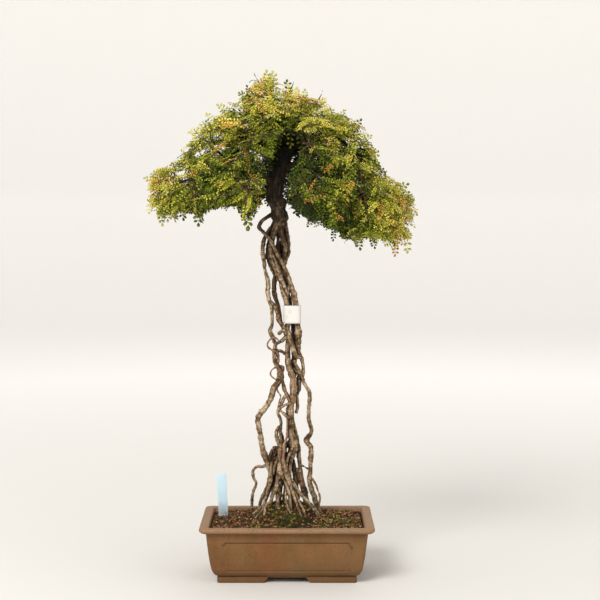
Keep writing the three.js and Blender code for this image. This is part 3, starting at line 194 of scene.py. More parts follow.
ROOTS = {
    "loop": [
        [-12, -4, 457, 3], [-20, -6, 452, 2.5], [-27, -8, 448.5, 2.4], [-32, -9, 444, 2.3],
        [-35, -9, 437, 2.5], [-30.5, -9, 431.5, 2], [-24, -10, 425, 2], [-19, -9, 418, 2.1],
        [-15, -8, 410, 2.3], [-11, -8, 402, 2.4], [-6, -7, 393, 2.3], [-2, -7, 384, 2.3],
        [1, -6, 376, 2.3], [4, -4, 366, 2.5],
    ],
    "outer_left": [
        [-20, 1, 436, 2.8], [-26, -2, 427, 2.3], [-29.5, -3, 418, 2.4], [-30.8, -3, 406, 2.4],
        [-29, -2, 394, 2.4], [-27.3, -2, 382, 2.4], [-24, -3, 369, 2.6], [-24.2, -3, 356, 2.8],
        [-22.6, -4, 346, 2.7], [-19.6, -4, 338, 2.8], [-19, -3, 328, 2.3], [-19, -3, 315, 2.2],
        [-21.6, -3, 307, 3], [-18.6, -3, 301, 2.6], [-15, -3, 290, 2.7], [-16.4, -3, 279, 2.6],
        [-16, -2, 270, 2.5], [-13, -1, 264, 2.8], [-9, 0, 256, 3.7], [-9, 0, 247, 4.6], [-12, 0, 241, 4],
        [-17, 0, 234, 3.6], [-21, 0, 222.6, 3.5], [-27, 0, 211, 3.4], [-33.5, 0, 203, 3.6],
        [-37, 0, 195, 3.7], [-35.6, 0, 186, 3.4], [-34, 0, 174, 3.5], [-32.3, 1, 163, 3.8],
        [-29.6, 2, 152, 3.7], [-25, 3, 140, 4], [-22.5, 4, 130, 2.8], [-22.5, 5, 119, 2.4],
        [-25.5, 7, 109, 2.3], [-30, 10, 99, 2.3], [-34, 14, 88, 2.2], [-37, 17, 75, 1.9],
        [-38, 18, 60, 1.5],
    ],
    "cross_left": [
        [-22, -5, 345, 2.4], [-16, -6, 339.5, 2.5], [-13, -6, 331.5, 2.4], [-10, -5, 323, 2.4],
        [-8.4, -4, 317, 2.5], [-4.5, -3.5, 311.5, 2.7], [0.5, -3, 303, 2.8],
    ],
    "dark_left": [
        [-12, 3, 448, 4], [-16.5, 4, 440, 3.4], [-20.6, 5, 431, 3.2], [-22.2, 5, 419, 3],
        [-24.8, 4, 403, 2.9], [-21, 4, 390, 2.9], [-15.6, 4, 377, 2.8], [-16.6, 4, 362, 2.8],
        [-15, 4, 350, 2.8], [-11.6, 4, 339, 2.7], [-9.6, 4, 328, 2.7], [-8.3, 4, 317.5, 2.8],
        [-4.5, 2, 310.5, 3], [0, 1, 300, 3.2],
    ],
    "centre": [
        [-9, -3, 448, 4.6], [-13, -3, 438, 4.4], [-17.6, -3, 427, 3.7], [-19.4, -3, 415, 3.5],
        [-19.4, -3, 403, 4.4], [-15.5, -2, 394, 4.9], [-12, -2, 384, 5], [-8, -2, 375, 5],
        [-5, -2, 364, 4.3], [-3, -2, 352, 3.8], [-0.8, -1, 342.5, 3.6], [0.9, 0, 334, 3.7],
        [2.4, 0, 325, 3.7], [1.2, 0, 317, 3.6], [-0.4, -2, 309.5, 3.6], [2.2, -3, 300, 3.5],
        [5.6, -3, 290, 3.4], [8.6, -3, 281, 3.3], [12.5, -2, 275.5, 3.3], [17, -1, 274, 2.6],
    ],
    "right": [
        [-6, 2, 450, 5.6], [-3.6, 2, 440, 4.2], [-1, 2, 431, 3.4], [0.6, 2, 419, 3.2], [1.4, 2, 408, 3.1],
        [-1.2, 1, 399, 3.1], [-4.6, 0, 389, 3.8], [-1.5, 0, 376, 4.4], [3.5, 0, 366, 4],
        [6.8, 0, 357, 3.8], [9.6, 0, 346, 3.8], [11.6, 0, 335, 3.7], [12.2, 0, 325, 3.8],
        [12.6, 0, 315, 3.9], [14.4, 0, 303, 4.1], [13.6, 0, 290, 3.7], [13.8, 0, 281, 3.2],
        [17.6, 1, 273, 2.4], [19.8, 1, 264, 2.1], [20, 1, 254, 2.1], [19, 0, 246, 2.1],
    ],
    "inner": [
        [-6, -4, 446, 3.4], [-7.2, -5, 434, 3.2], [-5.4, -5, 421, 3.1], [-2, -4, 412, 3],
        [-3.6, -4, 400, 2.8], [-5, -4, 388, 2.6],
    ],
    "between_thin": [[3.4, -2, 368, 2.4], [0.6, -3, 358, 2], [-0.4, -3, 350, 2], [0.6, -1, 341, 2.2]],
    "main": [
        [2.6, -1, 301, 3], [0.8, 0, 289, 3.4], [0.6, 0, 279, 3.6], [1.5, 0, 266, 4], [4.4, -2, 256, 4.2],
        [7.6, -2, 245, 4.4], [7.8, -2, 233, 4.6], [6.8, -2, 222, 4.4], [4.6, -2, 213, 4.2],
        [3.2, -3, 207, 5.2], [4.4, -2, 199, 3.8], [4, -2, 188, 4], [4.6, -2, 178, 4.2],
        [7.4, -3, 168, 5.4], [8.8, -3, 161, 5.6], [7.6, -2, 153, 3.7], [3.6, -2, 144, 3.4],
        [-0.4, -3, 135, 3.2], [-5.5, -5, 127, 2.9], [-11, -6, 119, 2.7], [-14, -8, 111, 2.4],
        [-17.6, -10, 102, 2.1], [-21, -12, 93, 1.9], [-27, -15, 88.5, 1.8], [-28.6, -18, 79, 1.8],
        [-29, -20, 60, 1.5],
    ],
    "outer_right": [
        [8, 1, 259, 2.8], [15.6, 0, 253, 2.7], [19.6, 0, 246.5, 2.6], [22.4, -1, 239, 2.4],
        [27, -2, 232, 2.5], [28.5, -2, 225, 2.6], [27.5, -2, 215, 2.5], [27.2, -2, 196, 2.5],
        [30.4, -2, 183, 2.7], [29, -2, 177, 2.9], [24.6, -2, 170.5, 3.8], [25.6, -2, 166, 3.5],
        [29.7, -2, 160, 3], [29.6, -2, 150, 2.9], [29, -2, 134, 2.9], [27.8, -2, 119, 2.9],
        [29.8, -2, 109, 3.2], [33, -2, 100, 3.4], [36, -1, 90, 3.4], [39.5, 1, 80, 2.8], [41.5, 2, 60, 2],
    ],
    "stub_right": [
        [14.8, 2, 254, 2.8], [14.8, 3, 240, 3], [14.6, 3, 231, 2.4], [12.4, 2, 225, 2],
        [12.8, 1, 211, 2.1], [11.4, 1, 203.5, 2.1],
    ],
    "right2": [
        [5, 0, 202, 2.4], [8.4, 1, 186, 2.2], [12, 2, 174, 2.3], [14.2, 3, 158, 2.4], [15.7, 4, 138, 2.5],
        [16, 5, 120, 2.6], [18.8, 7, 109, 2.9], [22.6, 10, 98, 2.8], [26, 14, 84, 2.3], [28, 16, 60, 1.8],
    ],
    "strand_left": [
        [-7.4, 0, 262, 4], [-7.6, -1, 252, 3], [-5.4, -1, 240, 2.5], [-2.6, -2, 231, 2.5],
        [1.6, -3, 222, 2.5], [5, -3, 215, 2.5],
    ],
    "short_left": [[-2, -3, 226, 2.2], [-5.6, -4, 219, 2], [-8.2, -5, 213, 2], [-9.6, -6, 208, 1.8]],
    "ring": [
        [5, -4, 217, 2], [0, -6, 215, 1.9], [-5, -7, 213, 1.9], [-10, -6, 209.5, 1.9],
        [-11.6, -5, 204, 1.9], [-8.6, -3, 197, 1.9], [-8, -2, 189, 2.1], [-11.6, -1, 184, 2.2],
        [-13.6, -1, 177, 2.3], [-12, -2, 169, 2.3], [-10, -3, 161, 2.4], [-13.4, -1, 156, 2.4],
        [-18.6, 1, 151, 2.3], [-19.6, 2, 144, 2.4], [-20, 1, 132, 2.6], [-21.6, 0, 117, 2.2],
        [-24.6, -2, 104, 2], [-28.4, -4, 92, 1.9], [-31, -6, 80, 1.9], [-32, -7, 60, 1.5],
    ],
    "slender": [
        [-7.6, -3, 188, 2], [-8.6, -4, 179, 2], [-7.4, -4, 168, 2], [-7.2, -4, 158, 3.1],
        [-7.6, -5, 148, 3], [-8.6, -5, 138, 3.1], [-11, -4, 126, 2.9], [-12.2, -4, 114, 2.6],
        [-12.6, -6, 102, 2.6], [-12, -9, 90, 2.4], [-10, -12, 79, 2.1], [-9, -13, 60, 1.6],
    ],
    "front_long": [
        [7, -5, 158, 3], [4, -5, 144, 2.9], [2.3, -5, 131, 3], [2.6, -6, 119, 3], [5, -8, 110, 2.6],
        [8.6, -11, 100, 2], [12.5, -15, 90, 1.8], [16.5, -20, 80, 1.6], [18.4, -25, 70, 1.5],
        [18.5, -27, 58, 1.3],
    ],
    "front_right": [
        [4, -6, 120, 2.4], [9.5, -7, 112, 2.5], [17, -9, 102, 2.4], [25.6, -11, 93, 2.4],
        [33, -12, 85, 2.3], [39, -13, 76, 1.9], [42, -14, 58, 1.5],
    ],
    "front_middle": [
        [9, -8, 106, 1.9], [13, -12, 97, 1.7], [17.5, -16, 89, 1.6], [22, -20, 79, 1.4],
        [25, -22, 70, 1.2], [26, -22, 58, 1],
    ],
    "front_left": [
        [-1, -6, 118, 2], [-1.8, -9, 108, 1.7], [-1.8, -12, 99, 1.5], [-0.4, -16, 89, 1.5],
        [4, -20, 81, 1.4], [8.6, -23, 73, 1.2], [9.6, -24, 58, 1.1],
    ],
    "side_left": [
        [-24.6, 4, 137, 2.2], [-31.5, 5, 134.5, 1.9], [-38.4, 7, 134, 1.9], [-43.6, 9, 128, 1.9],
        [-43, 12, 119, 1.8], [-39.8, 14, 111, 1.9], [-43.4, 17, 101, 1.8], [-45.2, 19, 90, 1.8],
        [-45.6, 21, 76, 1.7], [-46, 22, 60, 1.5],
    ],
    "dark_low": [
        [-15.6, 3, 148, 3], [-16.6, 6, 136, 3.6], [-18, 9, 123, 3.6], [-20.6, 12, 111, 3.4],
        [-25, 16, 99, 3], [-29, 21, 85, 2.4], [-31, 24, 62, 1.8],
    ],
    "surface_left": [
        [-29, -4, 88, 1.8], [-38, -6, 80, 1.6], [-46, -8, 74.5, 1.4], [-54, -10, 68, 1.2],
        [-58, -11, 61, 1],
    ],
    "back_long": [
        [-8, 4, 450, 4], [-6, 7, 424, 3.2], [-9, 7, 396, 3.4], [-5, 7, 374, 3.6], [1, 9.4, 350, 3.4],
        [6, 10.2, 325, 3.3], [9, 9.6, 300, 3.4], [8.4, 8.4, 275, 3.3], [8, 7, 250, 3.4],
        [6.4, 7, 225, 3.4], [4.4, 7, 200, 3.5], [5, 9, 175, 3.4], [3, 12, 150, 3.2], [0, 17, 125, 2.8],
        [-3, 26, 100, 2.6], [-5, 36, 80, 2.3], [-6, 40, 60, 1.9],
    ],
    "back_right": [
        [6, 9, 196, 2.6], [11, 12, 168, 2.5], [15, 18, 140, 2.5], [19, 27, 112, 2.4], [23, 37, 86, 2.2],
        [25, 42, 60, 1.7],
    ],
    "back_left": [
        [3, 10.5, 166, 2.8], [-6, 13, 152, 2.7], [-13, 17, 134, 2.7], [-17, 26, 108, 2.4],
        [-21, 37, 84, 2.1], [-23, 41, 60, 1.7],
    ],
    "back_middle": [
        [3.6, 12, 146, 2.4], [8, 19, 124, 2.3], [9, 31, 100, 2.1], [10, 43, 80, 1.9], [10, 47, 60, 1.6],
    ],
    "dark_stub": [[0, -4, 303, 2.2], [-5.4, -6, 308, 2.1], [-10.9, -7, 303.6, 2]],
    "bridge_high": [[-0.4, -3, 301, 2.6], [-5.8, -4, 295.4, 2.5], [-12, -3, 292, 2.4], [-15, -3, 290, 2]],
    "curl": [
        [-9.6, -6, 293, 1.2], [-12.6, -8, 297.5, 1.1], [-17.3, -9, 299.6, 1.1], [-22, -7, 296, 1.1],
        [-25, -5, 290, 1.1], [-23, -5, 286, 1.1], [-18, -6, 282.8, 1.1], [-12.8, -7, 281, 1.2],
        [-10.6, -6, 276, 1.3],
    ],
    "bridge": [[-14.5, -3, 283, 1.9], [-9, -3, 282, 1.9], [-4.6, -2, 280, 1.9], [0, -1, 276, 2]],
    "curl_low": [
        [-13.6, -3, 262, 1.2], [-19.5, -4, 258, 1], [-21, -4, 253, 1], [-18, -4, 248.6, 1.1],
        [-12, -3, 245, 1.4],
    ],
    "thread_left": [
        [-13, -2, 240, 1.2], [-12.2, -4, 232, 1], [-8.4, -5, 226, 1], [-9.4, -5, 220, 1],
        [-11.2, -6, 212, 1.2], [-11, -5, 206, 1.4],
    ],
    "cross_twig": [[15.5, 3, 138, 1.2], [21.5, 1, 135, 1], [28.5, -2, 131.5, 1.2]],
    "thread_right": [
        [28.5, -3, 122, 1.6], [34, -5, 117, 1.2], [38.4, -6, 107, 1.1], [41, -6, 97, 1.1],
        [40, -6, 86, 1.1], [39, -6, 62, 1],
    ],
}

LIMBS = {
    "low_left": [[-13, -1, 492, 5.5], [-40, -3, 500, 4.6], [-72, -5, 503, 3.6], [-104, -5, 497, 2.6]],
    "low_left_front": [[-36, -2, 499, 4], [-64, -26, 500, 3], [-84, -40, 496, 2.2]],
    "low_left_back": [[-36, -2, 499, 4], [-60, 26, 502, 3], [-72, 50, 500, 2.4]],
    "low_right": [
        [-6, 0, 512, 5.6], [26, -3, 514, 4.8], [60, -5, 504, 3.8], [88, -6, 484, 3], [104, -6, 460, 2.2],
    ],
    "low_right_front": [[24, -3, 514, 4], [48, -24, 508, 3], [66, -42, 496, 2.2]],
    "low_right_back": [[24, -3, 514, 4], [46, 26, 511, 3], [62, 50, 500, 2.4]],
    "mid_left": [[-1, 0, 526, 5], [-30, -6, 540, 3.8], [-60, -12, 548, 2.6]],
    "mid_right": [[3, 0, 538, 5], [30, -4, 548, 3.8], [58, -6, 550, 2.6]],
    "mid_front": [[1, 0, 540, 4.4], [-4, -22, 554, 3.2], [-10, -40, 560, 2.2]],
    "mid_back": [[0, 0, 530, 4.6], [-4, 30, 536, 3.4], [-8, 58, 524, 2.4]],
}

# Thinner strands and knots that lie on and between the roots
THREADS = {
    "inner_thin": [
        [-12.4, 0, 440, 2.6], [-11.4, 0, 424, 2.3], [-11.6, -1, 411, 2.3], [-9.4, -2, 398, 2.5],
        [-9, -2, 386, 2.6],
    ],
    "twist": [[9, -3, 270, 2.1], [11, -4, 264, 2.1], [14, -3, 259, 2.1], [15, -1, 254, 2.1]],
    "red_thread": [
        [0.4, -6, 196, 1.4], [0, -7, 184, 1.4], [-0.8, -7, 173, 1.4], [-4, -7, 165, 1.5],
        [-6.4, -6, 157, 1.8],
    ],
    "pair_left": [
        [-14.4, -2, 285, 2.1], [-11.4, -4, 276, 2.1], [-12.2, -4, 268, 2.1], [-12.8, -2, 262, 2.3],
    ],
    "loop_low": [[-9.4, -6, 208, 1.9], [-4.4, -8, 204, 1.9], [2, -6, 198, 2.1]],
    "bulge": [[-12.6, -5, 328, 1.6], [-11.6, -6, 322, 2.6], [-7, -6, 315, 2.2]],
    "tangle_back": [
        [-9, 5, 180, 2.4], [-6, 7, 165, 2.8], [-3, 8, 152, 3], [-2, 8, 138, 3], [-4, 9, 124, 2.8],
        [-8, 10, 108, 2.4], [-10, 12, 90, 2],
    ],
    "tangle_cross": [
        [-17, 3, 160, 2.2], [-13, 5, 150, 2.6], [-9, 6, 137, 2.7], [-5, 7, 123, 2.6], [1, 8, 106, 2.2],
        [7, 9, 88, 1.8],
    ],
    "tangle_loop": [
        [-22, 0, 143, 2], [-21, -2, 152, 2], [-18, -4, 159, 1.9], [-13, -4, 160, 1.9],
        [-10.5, -4, 153, 2], [-12, -3, 145, 2.2], [-15, -2, 137, 2.2], [-17, 0, 126, 2],
    ],
    "pink_front": [
        [-3, -6, 166, 1.9], [-4, -8, 156, 2.4], [-4.6, -9, 146, 2.8], [-3, -9, 136, 3],
        [-0.6, -8, 126, 2.8], [0.6, -8, 116, 2.3],
    ],
    "low_knob": [[-4.4, -7, 134, 2.8], [-1.6, -8, 128, 4], [1.6, -8, 120, 3.9], [3.6, -8, 112, 2.8]],
    "heart_knob": [
        [-9, -4, 143, 2.8], [-8, -5, 136, 4.7], [-6.4, -6, 129, 4.9], [-3, -7, 120, 3.7],
        [0.5, -8, 110, 3.1], [3, -10, 98, 2.6], [4, -13, 84, 2.2], [4.5, -16, 70, 1.9],
    ],
    "pink_mass": [[-6.4, -3, 169, 2.2], [-7.8, -4, 160, 3.4], [-8.6, -5, 152, 3.9], [-8.2, -5, 144, 3.3]],
    "knob_cross": [[9, -5, 163, 2.4], [4, -8, 155, 2.2], [0.4, -9, 147, 2.1], [-1.6, -9, 138, 2]],
    "maroon": [
        [12, 5, 132, 2.2], [16.6, 6, 119, 3.4], [20.6, 6, 107, 4.7], [23.4, 6, 94, 4.2], [25, 6, 78, 2.6],
    ],
    "dark_middle": [
        [5, 6, 152, 2.4], [8, 7, 136, 2.8], [10.6, 7, 120, 2.8], [12.6, 6, 104, 2.5], [13.6, 6, 84, 2],
    ],
    "twist_left": [
        [-13.6, -4, 280, 1.8], [-16.4, -5, 272, 1.9], [-13.6, -6, 264, 2], [-9.6, -5, 257, 2.1],
        [-9.4, -3, 250, 2],
    ],
    "wrap": [[-9, -5, 366, 2], [-6, -6, 358, 2.1], [-2.4, -5, 351, 2], [0, -2, 346, 1.7]],
    "knot_left": [[-22, 3, 408, 2.4], [-23.6, 1, 402, 2.9], [-20.4, 0, 396, 2.6]],
    "short_hook": [[-12.4, -7, 109, 1.4], [-10.4, -9, 105, 1.4], [-7.3, -9, 101.7, 1.4]],
    "slip": [[1.5, -7, 107, 1.5], [6.3, -8, 98.5, 1.5], [8.7, -9, 88, 1.4]],
    "hair_left": [[-26, -14, 90, 0.8], [-33, -20, 82, 0.7], [-41, -25, 74, 0.6], [-49, -30, 64, 0.5]],
    "hair_front": [[7, -21, 76, 0.7], [9, -29, 71, 0.6], [6, -36, 67, 0.6], [9, -43, 62, 0.5]],
    "hair_middle": [[-9, -12, 80, 0.8], [-13, -24, 74, 0.7], [-11, -34, 69, 0.6], [-15, -42, 63, 0.5]],
    "hair_right": [[33, -13, 85, 0.8], [41, -20, 76, 0.7], [52, -26, 69, 0.6], [57, -31, 62, 0.5]],
}
# Radius up to which wood is drawn with the fewest sides
FINE_RADIUS = 1.45

# How pale (1), dark (-1) and red (second number) some strands are. The others take a drawn value.
TINTS = {
    "dark_left": (-0.7, 0.3), "dark_low": (-0.9, 0.2), "tangle_back": (-1.0, 0.2),
    "tangle_cross": (-0.8, 0.4), "tangle_loop": (-0.5, 0.5), "pink_front": (0.3, 0.9),
    "red_thread": (0.7, 0.8), "maroon": (-0.8, 0.9), "dark_middle": (-1.0, 0.3), "loop": (0.2, 0.1),
    "outer_left": (0.4, 0.0), "outer_right": (0.2, 0.0), "main": (0.2, 0.3), "centre": (0.3, 0.1),
    "right": (0.1, 0.3), "front_long": (0.5, 0.4), "front_right": (0.5, 0.1), "side_left": (-0.3, 0.3),
    "curl": (0.2, 0.7), "curl_low": (0.2, 0.7), "twist_left": (-0.1, 0.8), "bulge": (-0.7, 0.8),
    "inner": (-0.6, 0.5), "inner_thin": (-0.4, 0.2), "heart_knob": (0.7, 0.4), "pink_mass": (0.2, 1.0),
    "knob_cross": (0.3, 0.4), "low_knob": (0.5, 0.3), "thread_left": (0.1, 0.6),
    "surface_left": (0.4, 0.3),
}

# Bare twigs that stand out of the crown
BARE_TWIGS = [
    [[-24, -2, 600, 0.9], [-31, -4, 612, 0.6], [-38, -5, 621, 0.4], [-41, -5, 628, 0.3]],
    [[-31, -4, 611, 0.6], [-38, -6, 618, 0.4], [-44, -8, 618, 0.35], [-47, -9, 615, 0.3]],
    [[36, -4, 590, 0.7], [42, -6, 600, 0.4], [44, -7, 606, 0.25]],
    [[0, -2, 600, 0.7], [6, -3, 610, 0.4], [8, -4, 618, 0.25]],
]


def place(point):
    """A point in millimetres from the pot's centre, as metres in the row frame."""
    return Vector(point[:3]) * MM + POT_CENTRE


def along(line, at):
    """The value of a line of (place, value) points at a place."""
    return float(np.interp(at, [p for p, _ in line], [v for _, v in line]))


def clamp(value):
    """A value held between 0 and 1."""
    return min(max(value, 0.0), 1.0)


def share_between(value, low, high):
    """0 at low, 1 at high, and a straight rise between them."""
    return clamp((value - low) / (high - low))


def new_object(name, vertices, faces, edges=()):
    """A smooth mesh object from vertices in metres."""
    mesh = bpy.data.meshes.new(name)
    mesh.from_pydata([tuple(v) for v in vertices], list(edges), list(faces))
    mesh.polygons.foreach_set("use_smooth", [True] * len(mesh.polygons))
    mesh.update()
    piece = bpy.data.objects.new(name, mesh)
    bpy.context.scene.collection.objects.link(piece)
    return piece


def apply_modifiers(piece):
    """Makes a piece a plain mesh of what its modifiers give."""
    bpy.context.view_layer.update()
    graph = bpy.context.evaluated_depsgraph_get()
    mesh = bpy.data.meshes.new_from_object(piece.evaluated_get(graph), depsgraph=graph)
    old = piece.data
    piece.modifiers.clear()
    piece.data = mesh
    bpy.data.meshes.remove(old)
    mesh.name = piece.name
    return piece


def remove_object(piece):
    mesh = piece.data
    bpy.data.objects.remove(piece)
    bpy.data.meshes.remove(mesh)


def join_shells(shells):
    """Vertices and faces of several shells as one list of each."""
    vertices = []
    faces = []
    for shell_vertices, shell_faces in shells:
        start = len(vertices)
        vertices.extend(shell_vertices)
        faces.extend(tuple(start + i for i in face) for face in shell_faces)
    return vertices, faces


def read_points(mesh):
    """Places and normals of all points of a mesh."""
    places = np.empty(len(mesh.vertices) * 3, np.float32)
    normals = np.empty_like(places)
    mesh.vertices.foreach_get("co", places)
    mesh.vertex_normals.foreach_get("vector", normals)
    return places.reshape(-1, 3), normals.reshape(-1, 3)


def store(mesh, name, kind, values):
    """Stores a value for each point of a mesh."""
    field = "vector" if kind == "FLOAT_VECTOR" else "value"
    mesh.attributes.new(name, kind, "POINT").data.foreach_set(field, values)


def bevel(piece, width):
    """Rounds the sharp edges of a piece."""
    edge = piece.modifiers.new("edge", "BEVEL")
    edge.width = width * MM
    edge.segments = 2
    edge.limit_method = "ANGLE"
    apply_modifiers(piece)


def ring_faces(ring_count, around):
    """Four-sided faces between rings of points."""
    faces = []
    for ring in range(ring_count - 1):
        low = ring * around
        for i in range(around):
            following = (i + 1) % around
            faces.append((low + i, low + following, low + around + following, low + around + i))
    return faces


def closed_rings(rings):
    """Rings of points as a closed shell, with a flat face on its first and its last ring."""
    around = len(rings[0])
    last = (len(rings) - 1) * around
    faces = ring_faces(len(rings), around)
    faces.append(tuple(reversed(range(around))))
    faces.append(tuple(range(last, last + around)))
    return [point for ring in rings for point in ring], faces


def ride_root(piece):
    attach(piece, "root")


# Node trees for materials and for geometry

def add_node(tree, kind, inputs=None, **settings):
    """A new node with its properties and inputs set. An input is a plain value or another node's socket."""
    node = tree.nodes.new(kind)
    for name, value in settings.items():
        setattr(node, name, value)
    for name, value in (inputs or {}).items():
        socket = node.inputs[name]
        if isinstance(value, bpy.types.NodeSocket):
            tree.links.new(value, socket)
        else:
            socket.default_value = value
    return node


def calculate(tree, operation, first, second):
    return add_node(tree, "ShaderNodeMath", {0: first, 1: second}, operation=operation).outputs[0]


def with_alpha(colour):
    """A colour as a node takes it: a socket as it is, three numbers with a fourth."""
    return colour if isinstance(colour, bpy.types.NodeSocket) else (*colour, 1)


class Look:
    """A material and its node tree. Lengths are in metres, scales of noise in 1/m, colours (r, g, b)."""

    def __init__(self, name, roughness, specular):
        self.material = bpy.data.materials.new(name)
        self.material.use_nodes = True
        self.tree = self.material.node_tree
        self.shader = self.tree.nodes["Principled BSDF"]
        self.shader.inputs["Roughness"].default_value = roughness
        self.shader.inputs["Specular IOR Level"].default_value = specular
        self.coordinates = self.tree.nodes.new("ShaderNodeTexCoord").outputs["Object"]

    def attribute(self, name, output="Fac"):
        """What the mesh stores under a name."""
        return add_node(self.tree, "ShaderNodeAttribute", attribute_name=name).outputs[output]

    def axis(self, vector, letter):
        return add_node(self.tree, "ShaderNodeSeparateXYZ", {0: vector}).outputs[letter]

    def height(self):
        return self.axis(self.coordinates, "Z")

    def noise(self, scale, detail=4.0, stretch=(1, 1, 1), at=None):
        """Noise from 0 to 1 over the piece's own coordinates, or over another vector."""
        vector = self.coordinates if at is None else at
        mapping = add_node(self.tree, "ShaderNodeMapping", {"Vector": vector, "Scale": stretch})
        inputs = {"Vector": mapping.outputs[0], "Scale": scale, "Detail": detail}
        return add_node(self.tree, "ShaderNodeTexNoise", inputs).outputs[0]

    def rise(self, value, low, high):
        """0 at low, 1 at high, and a straight rise between them."""
        inputs = {"Value": value, "From Min": low, "From Max": high}
        return add_node(self.tree, "ShaderNodeMapRange", inputs, clamp=True).outputs[0]

    def times(self, first, second):
        return calculate(self.tree, "MULTIPLY", first, second)

    def plus(self, first, *others):
        for other in others:
            first = calculate(self.tree, "ADD", first, other)
        return first

    def minus(self, first, second):
        return calculate(self.tree, "SUBTRACT", first, second)

    def ramp(self, factor, *stops):
        """Colours along a factor, from (place, colour) stops."""
        node = add_node(self.tree, "ShaderNodeValToRGB", {0: factor})
        elements = node.color_ramp.elements
        while len(elements) < len(stops):
            elements.new(0.5)
        for element, (at, colour) in zip(elements, stops):
            element.position = at
            element.color = (*colour, 1)
        return node.outputs[0]

    def mix(self, base, colour, factor, share=1.0):
        """The base turned towards a colour by a factor, and by no more than a share."""
        inputs = {0: self.times(factor, share), 6: with_alpha(base), 7: with_alpha(colour)}
        return add_node(self.tree, "ShaderNodeMix", inputs, data_type="RGBA").outputs[2]

    def set_colour(self, colour):
        self.tree.links.new(colour, self.shader.inputs["Base Color"])

    def finish(self, colour, relief, depth, strength=1.0):
        """Gives the material its colour and fine relief of a depth."""
        self.set_colour(colour)
        inputs = {"Height": relief, "Distance": depth, "Strength": strength}
        bump = add_node(self.tree, "ShaderNodeBump", inputs)
        self.tree.links.new(bump.outputs[0], self.shader.inputs["Normal"])
        return self.material


def bark_material(settings):
    """Grey-tan bark ringed along each root and dark on the upper trunk, with painted shade: nearly black on
    the trunk and limbs inside the crown, and dark in crevices.
    """
    look = Look("bark", 0.8, 0.3)
    height = look.height()
    grain = look.attribute("grain", "Vector")
    tint = look.attribute("tint", "Vector")
    patches = look.noise(70, 5)
    rings = look.noise(260, 4, (0.3, 0.3, 1), grain)
    streaks = look.noise(520, 4, (1, 1, 0.16), grain)
    crumbs = look.noise(420, 3, at=grain)
    scales = add_node(
        look.tree, "ShaderNodeTexVoronoi", {"Vector": grain, "Scale": 330.0}, feature="DISTANCE_TO_EDGE"
    )
    cracks = look.rise(scales.outputs["Distance"], 0.16, 0.02)
    paler_low = look.times(look.rise(height, 0.19, 0.11), 0.016)
    paler_high = look.times(look.rise(height, 0.32, 0.36), 0.016)
    paleness = look.plus(
        look.times(rings, 0.36),
        look.times(streaks, 0.34),
        look.times(patches, 0.30),
        look.times(look.axis(tint, "X"), 0.055),
        look.plus(paler_low, paler_high),
    )
    bark = look.ramp(
        paleness,
        (0.41, (0.042, 0.018, 0.005)),
        (0.475, (0.135, 0.075, 0.030)),
        (0.53, settings.root_colour),
        (0.59, (0.58, 0.45, 0.29)),
    )
    blush = look.times(look.axis(tint, "Y"), look.rise(patches, 0.42, 0.60))
    bark = look.mix(bark, (0.30, 0.140, 0.075), blush)
    pale_dots = look.rise(crumbs, 0.60, 0.68)
    bark = look.mix(bark, (0.58, 0.46, 0.31), pale_dots, 0.5)
    bark = look.mix(bark, (0.045, 0.023, 0.010), cracks, 0.55)
    trunk_colour = look.ramp(
        streaks,
        (0.36, (0.008, 0.005, 0.003)),
        (0.52, settings.trunk_colour),
        (0.68, (0.085, 0.050, 0.028)),
    )
    wander = look.times(look.minus(patches, 0.5), 0.14)
    on_trunk = look.rise(look.plus(height, wander), 0.400, 0.462)
    bark = look.mix(bark, trunk_colour, on_trunk)
    # Painted shade: the trunk and limbs inside the crown turn nearly black.
    crown_shade = look.rise(height, 0.488, 0.522)
    bark = look.mix(bark, (0.004, 0.003, 0.001), crown_shade, 0.9)
    # Painted shade in crevices, as much as each point is closed off by wood close by.
    crevice_shade = look.rise(look.attribute("crevice"), 0.0, 0.55)
    bark = look.mix(bark, (0.020, 0.008, 0.002), crevice_shade, 0.95)
    near_soil = look.rise(height, 0.118, 0.080)
    mossy = look.rise(look.noise(90), 0.53, 0.68)
    bark = look.mix(bark, (0.085, 0.080, 0.014), look.times(near_soil, mossy))
    relief = look.plus(look.times(rings, 0.8), look.times(streaks, 0.7))
    relief = look.minus(relief, look.times(cracks, 0.5))
    return look.finish(bark, relief, 0.0008)


def clay_material(settings):
    """Unglazed brown stoneware, olive in patches, paler on the rim from wear and a painted highlight on its
    top, with a fine grain, and painted shade in the grooves and under the rim.
    """
    look = Look("stoneware", 0.6, 0.3)
    height = look.height()
    cloud = look.noise(34, 8)
    streak = look.noise(110, 6, (1, 1, 0.25))
    speckle = look.noise(620)
    wide = look.noise(13, 2)
    clay = look.mix(settings.colour, (0.130, 0.066, 0.013), look.rise(cloud, 0.36, 0.66))
    clay = look.mix(clay, (0.25, 0.112, 0.036), look.rise(streak, 0.3, 0.7), 0.42)
    clay = look.mix(clay, (0.210, 0.122, 0.050), look.rise(wide, 0.50, 0.64), 0.4)
    clay = look.mix(clay, (0.150, 0.050, 0.018), look.rise(wide, 0.48, 0.36), 0.5)
    low_on_wall = look.rise(height, 0.045, 0.012)
    clay = look.mix(clay, (0.105, 0.055, 0.018), low_on_wall, 0.35)
    # Paler rim: worn clay, and a painted highlight on its top.
    rim_wear_and_light = look.rise(height, 0.0640, 0.0665)
    clay = look.mix(clay, (0.35, 0.215, 0.115), rim_wear_and_light, 0.55)
    on_feet = look.rise(height, 0.016, 0.004)
    clay = look.mix(clay, (0.08, 0.042, 0.016), on_feet, 0.25)
    freckles = look.rise(speckle, 0.54, 0.66)
    clay = look.mix(clay, (0.085, 0.042, 0.018), freckles, 0.6)
    # Painted shade in the panel's grooves and under the rim.
    clay = look.mix(clay, (0.05, 0.022, 0.009), look.attribute("sunk"), 0.8)
    return look.finish(clay, look.noise(900, 5), 0.0002, 0.8)


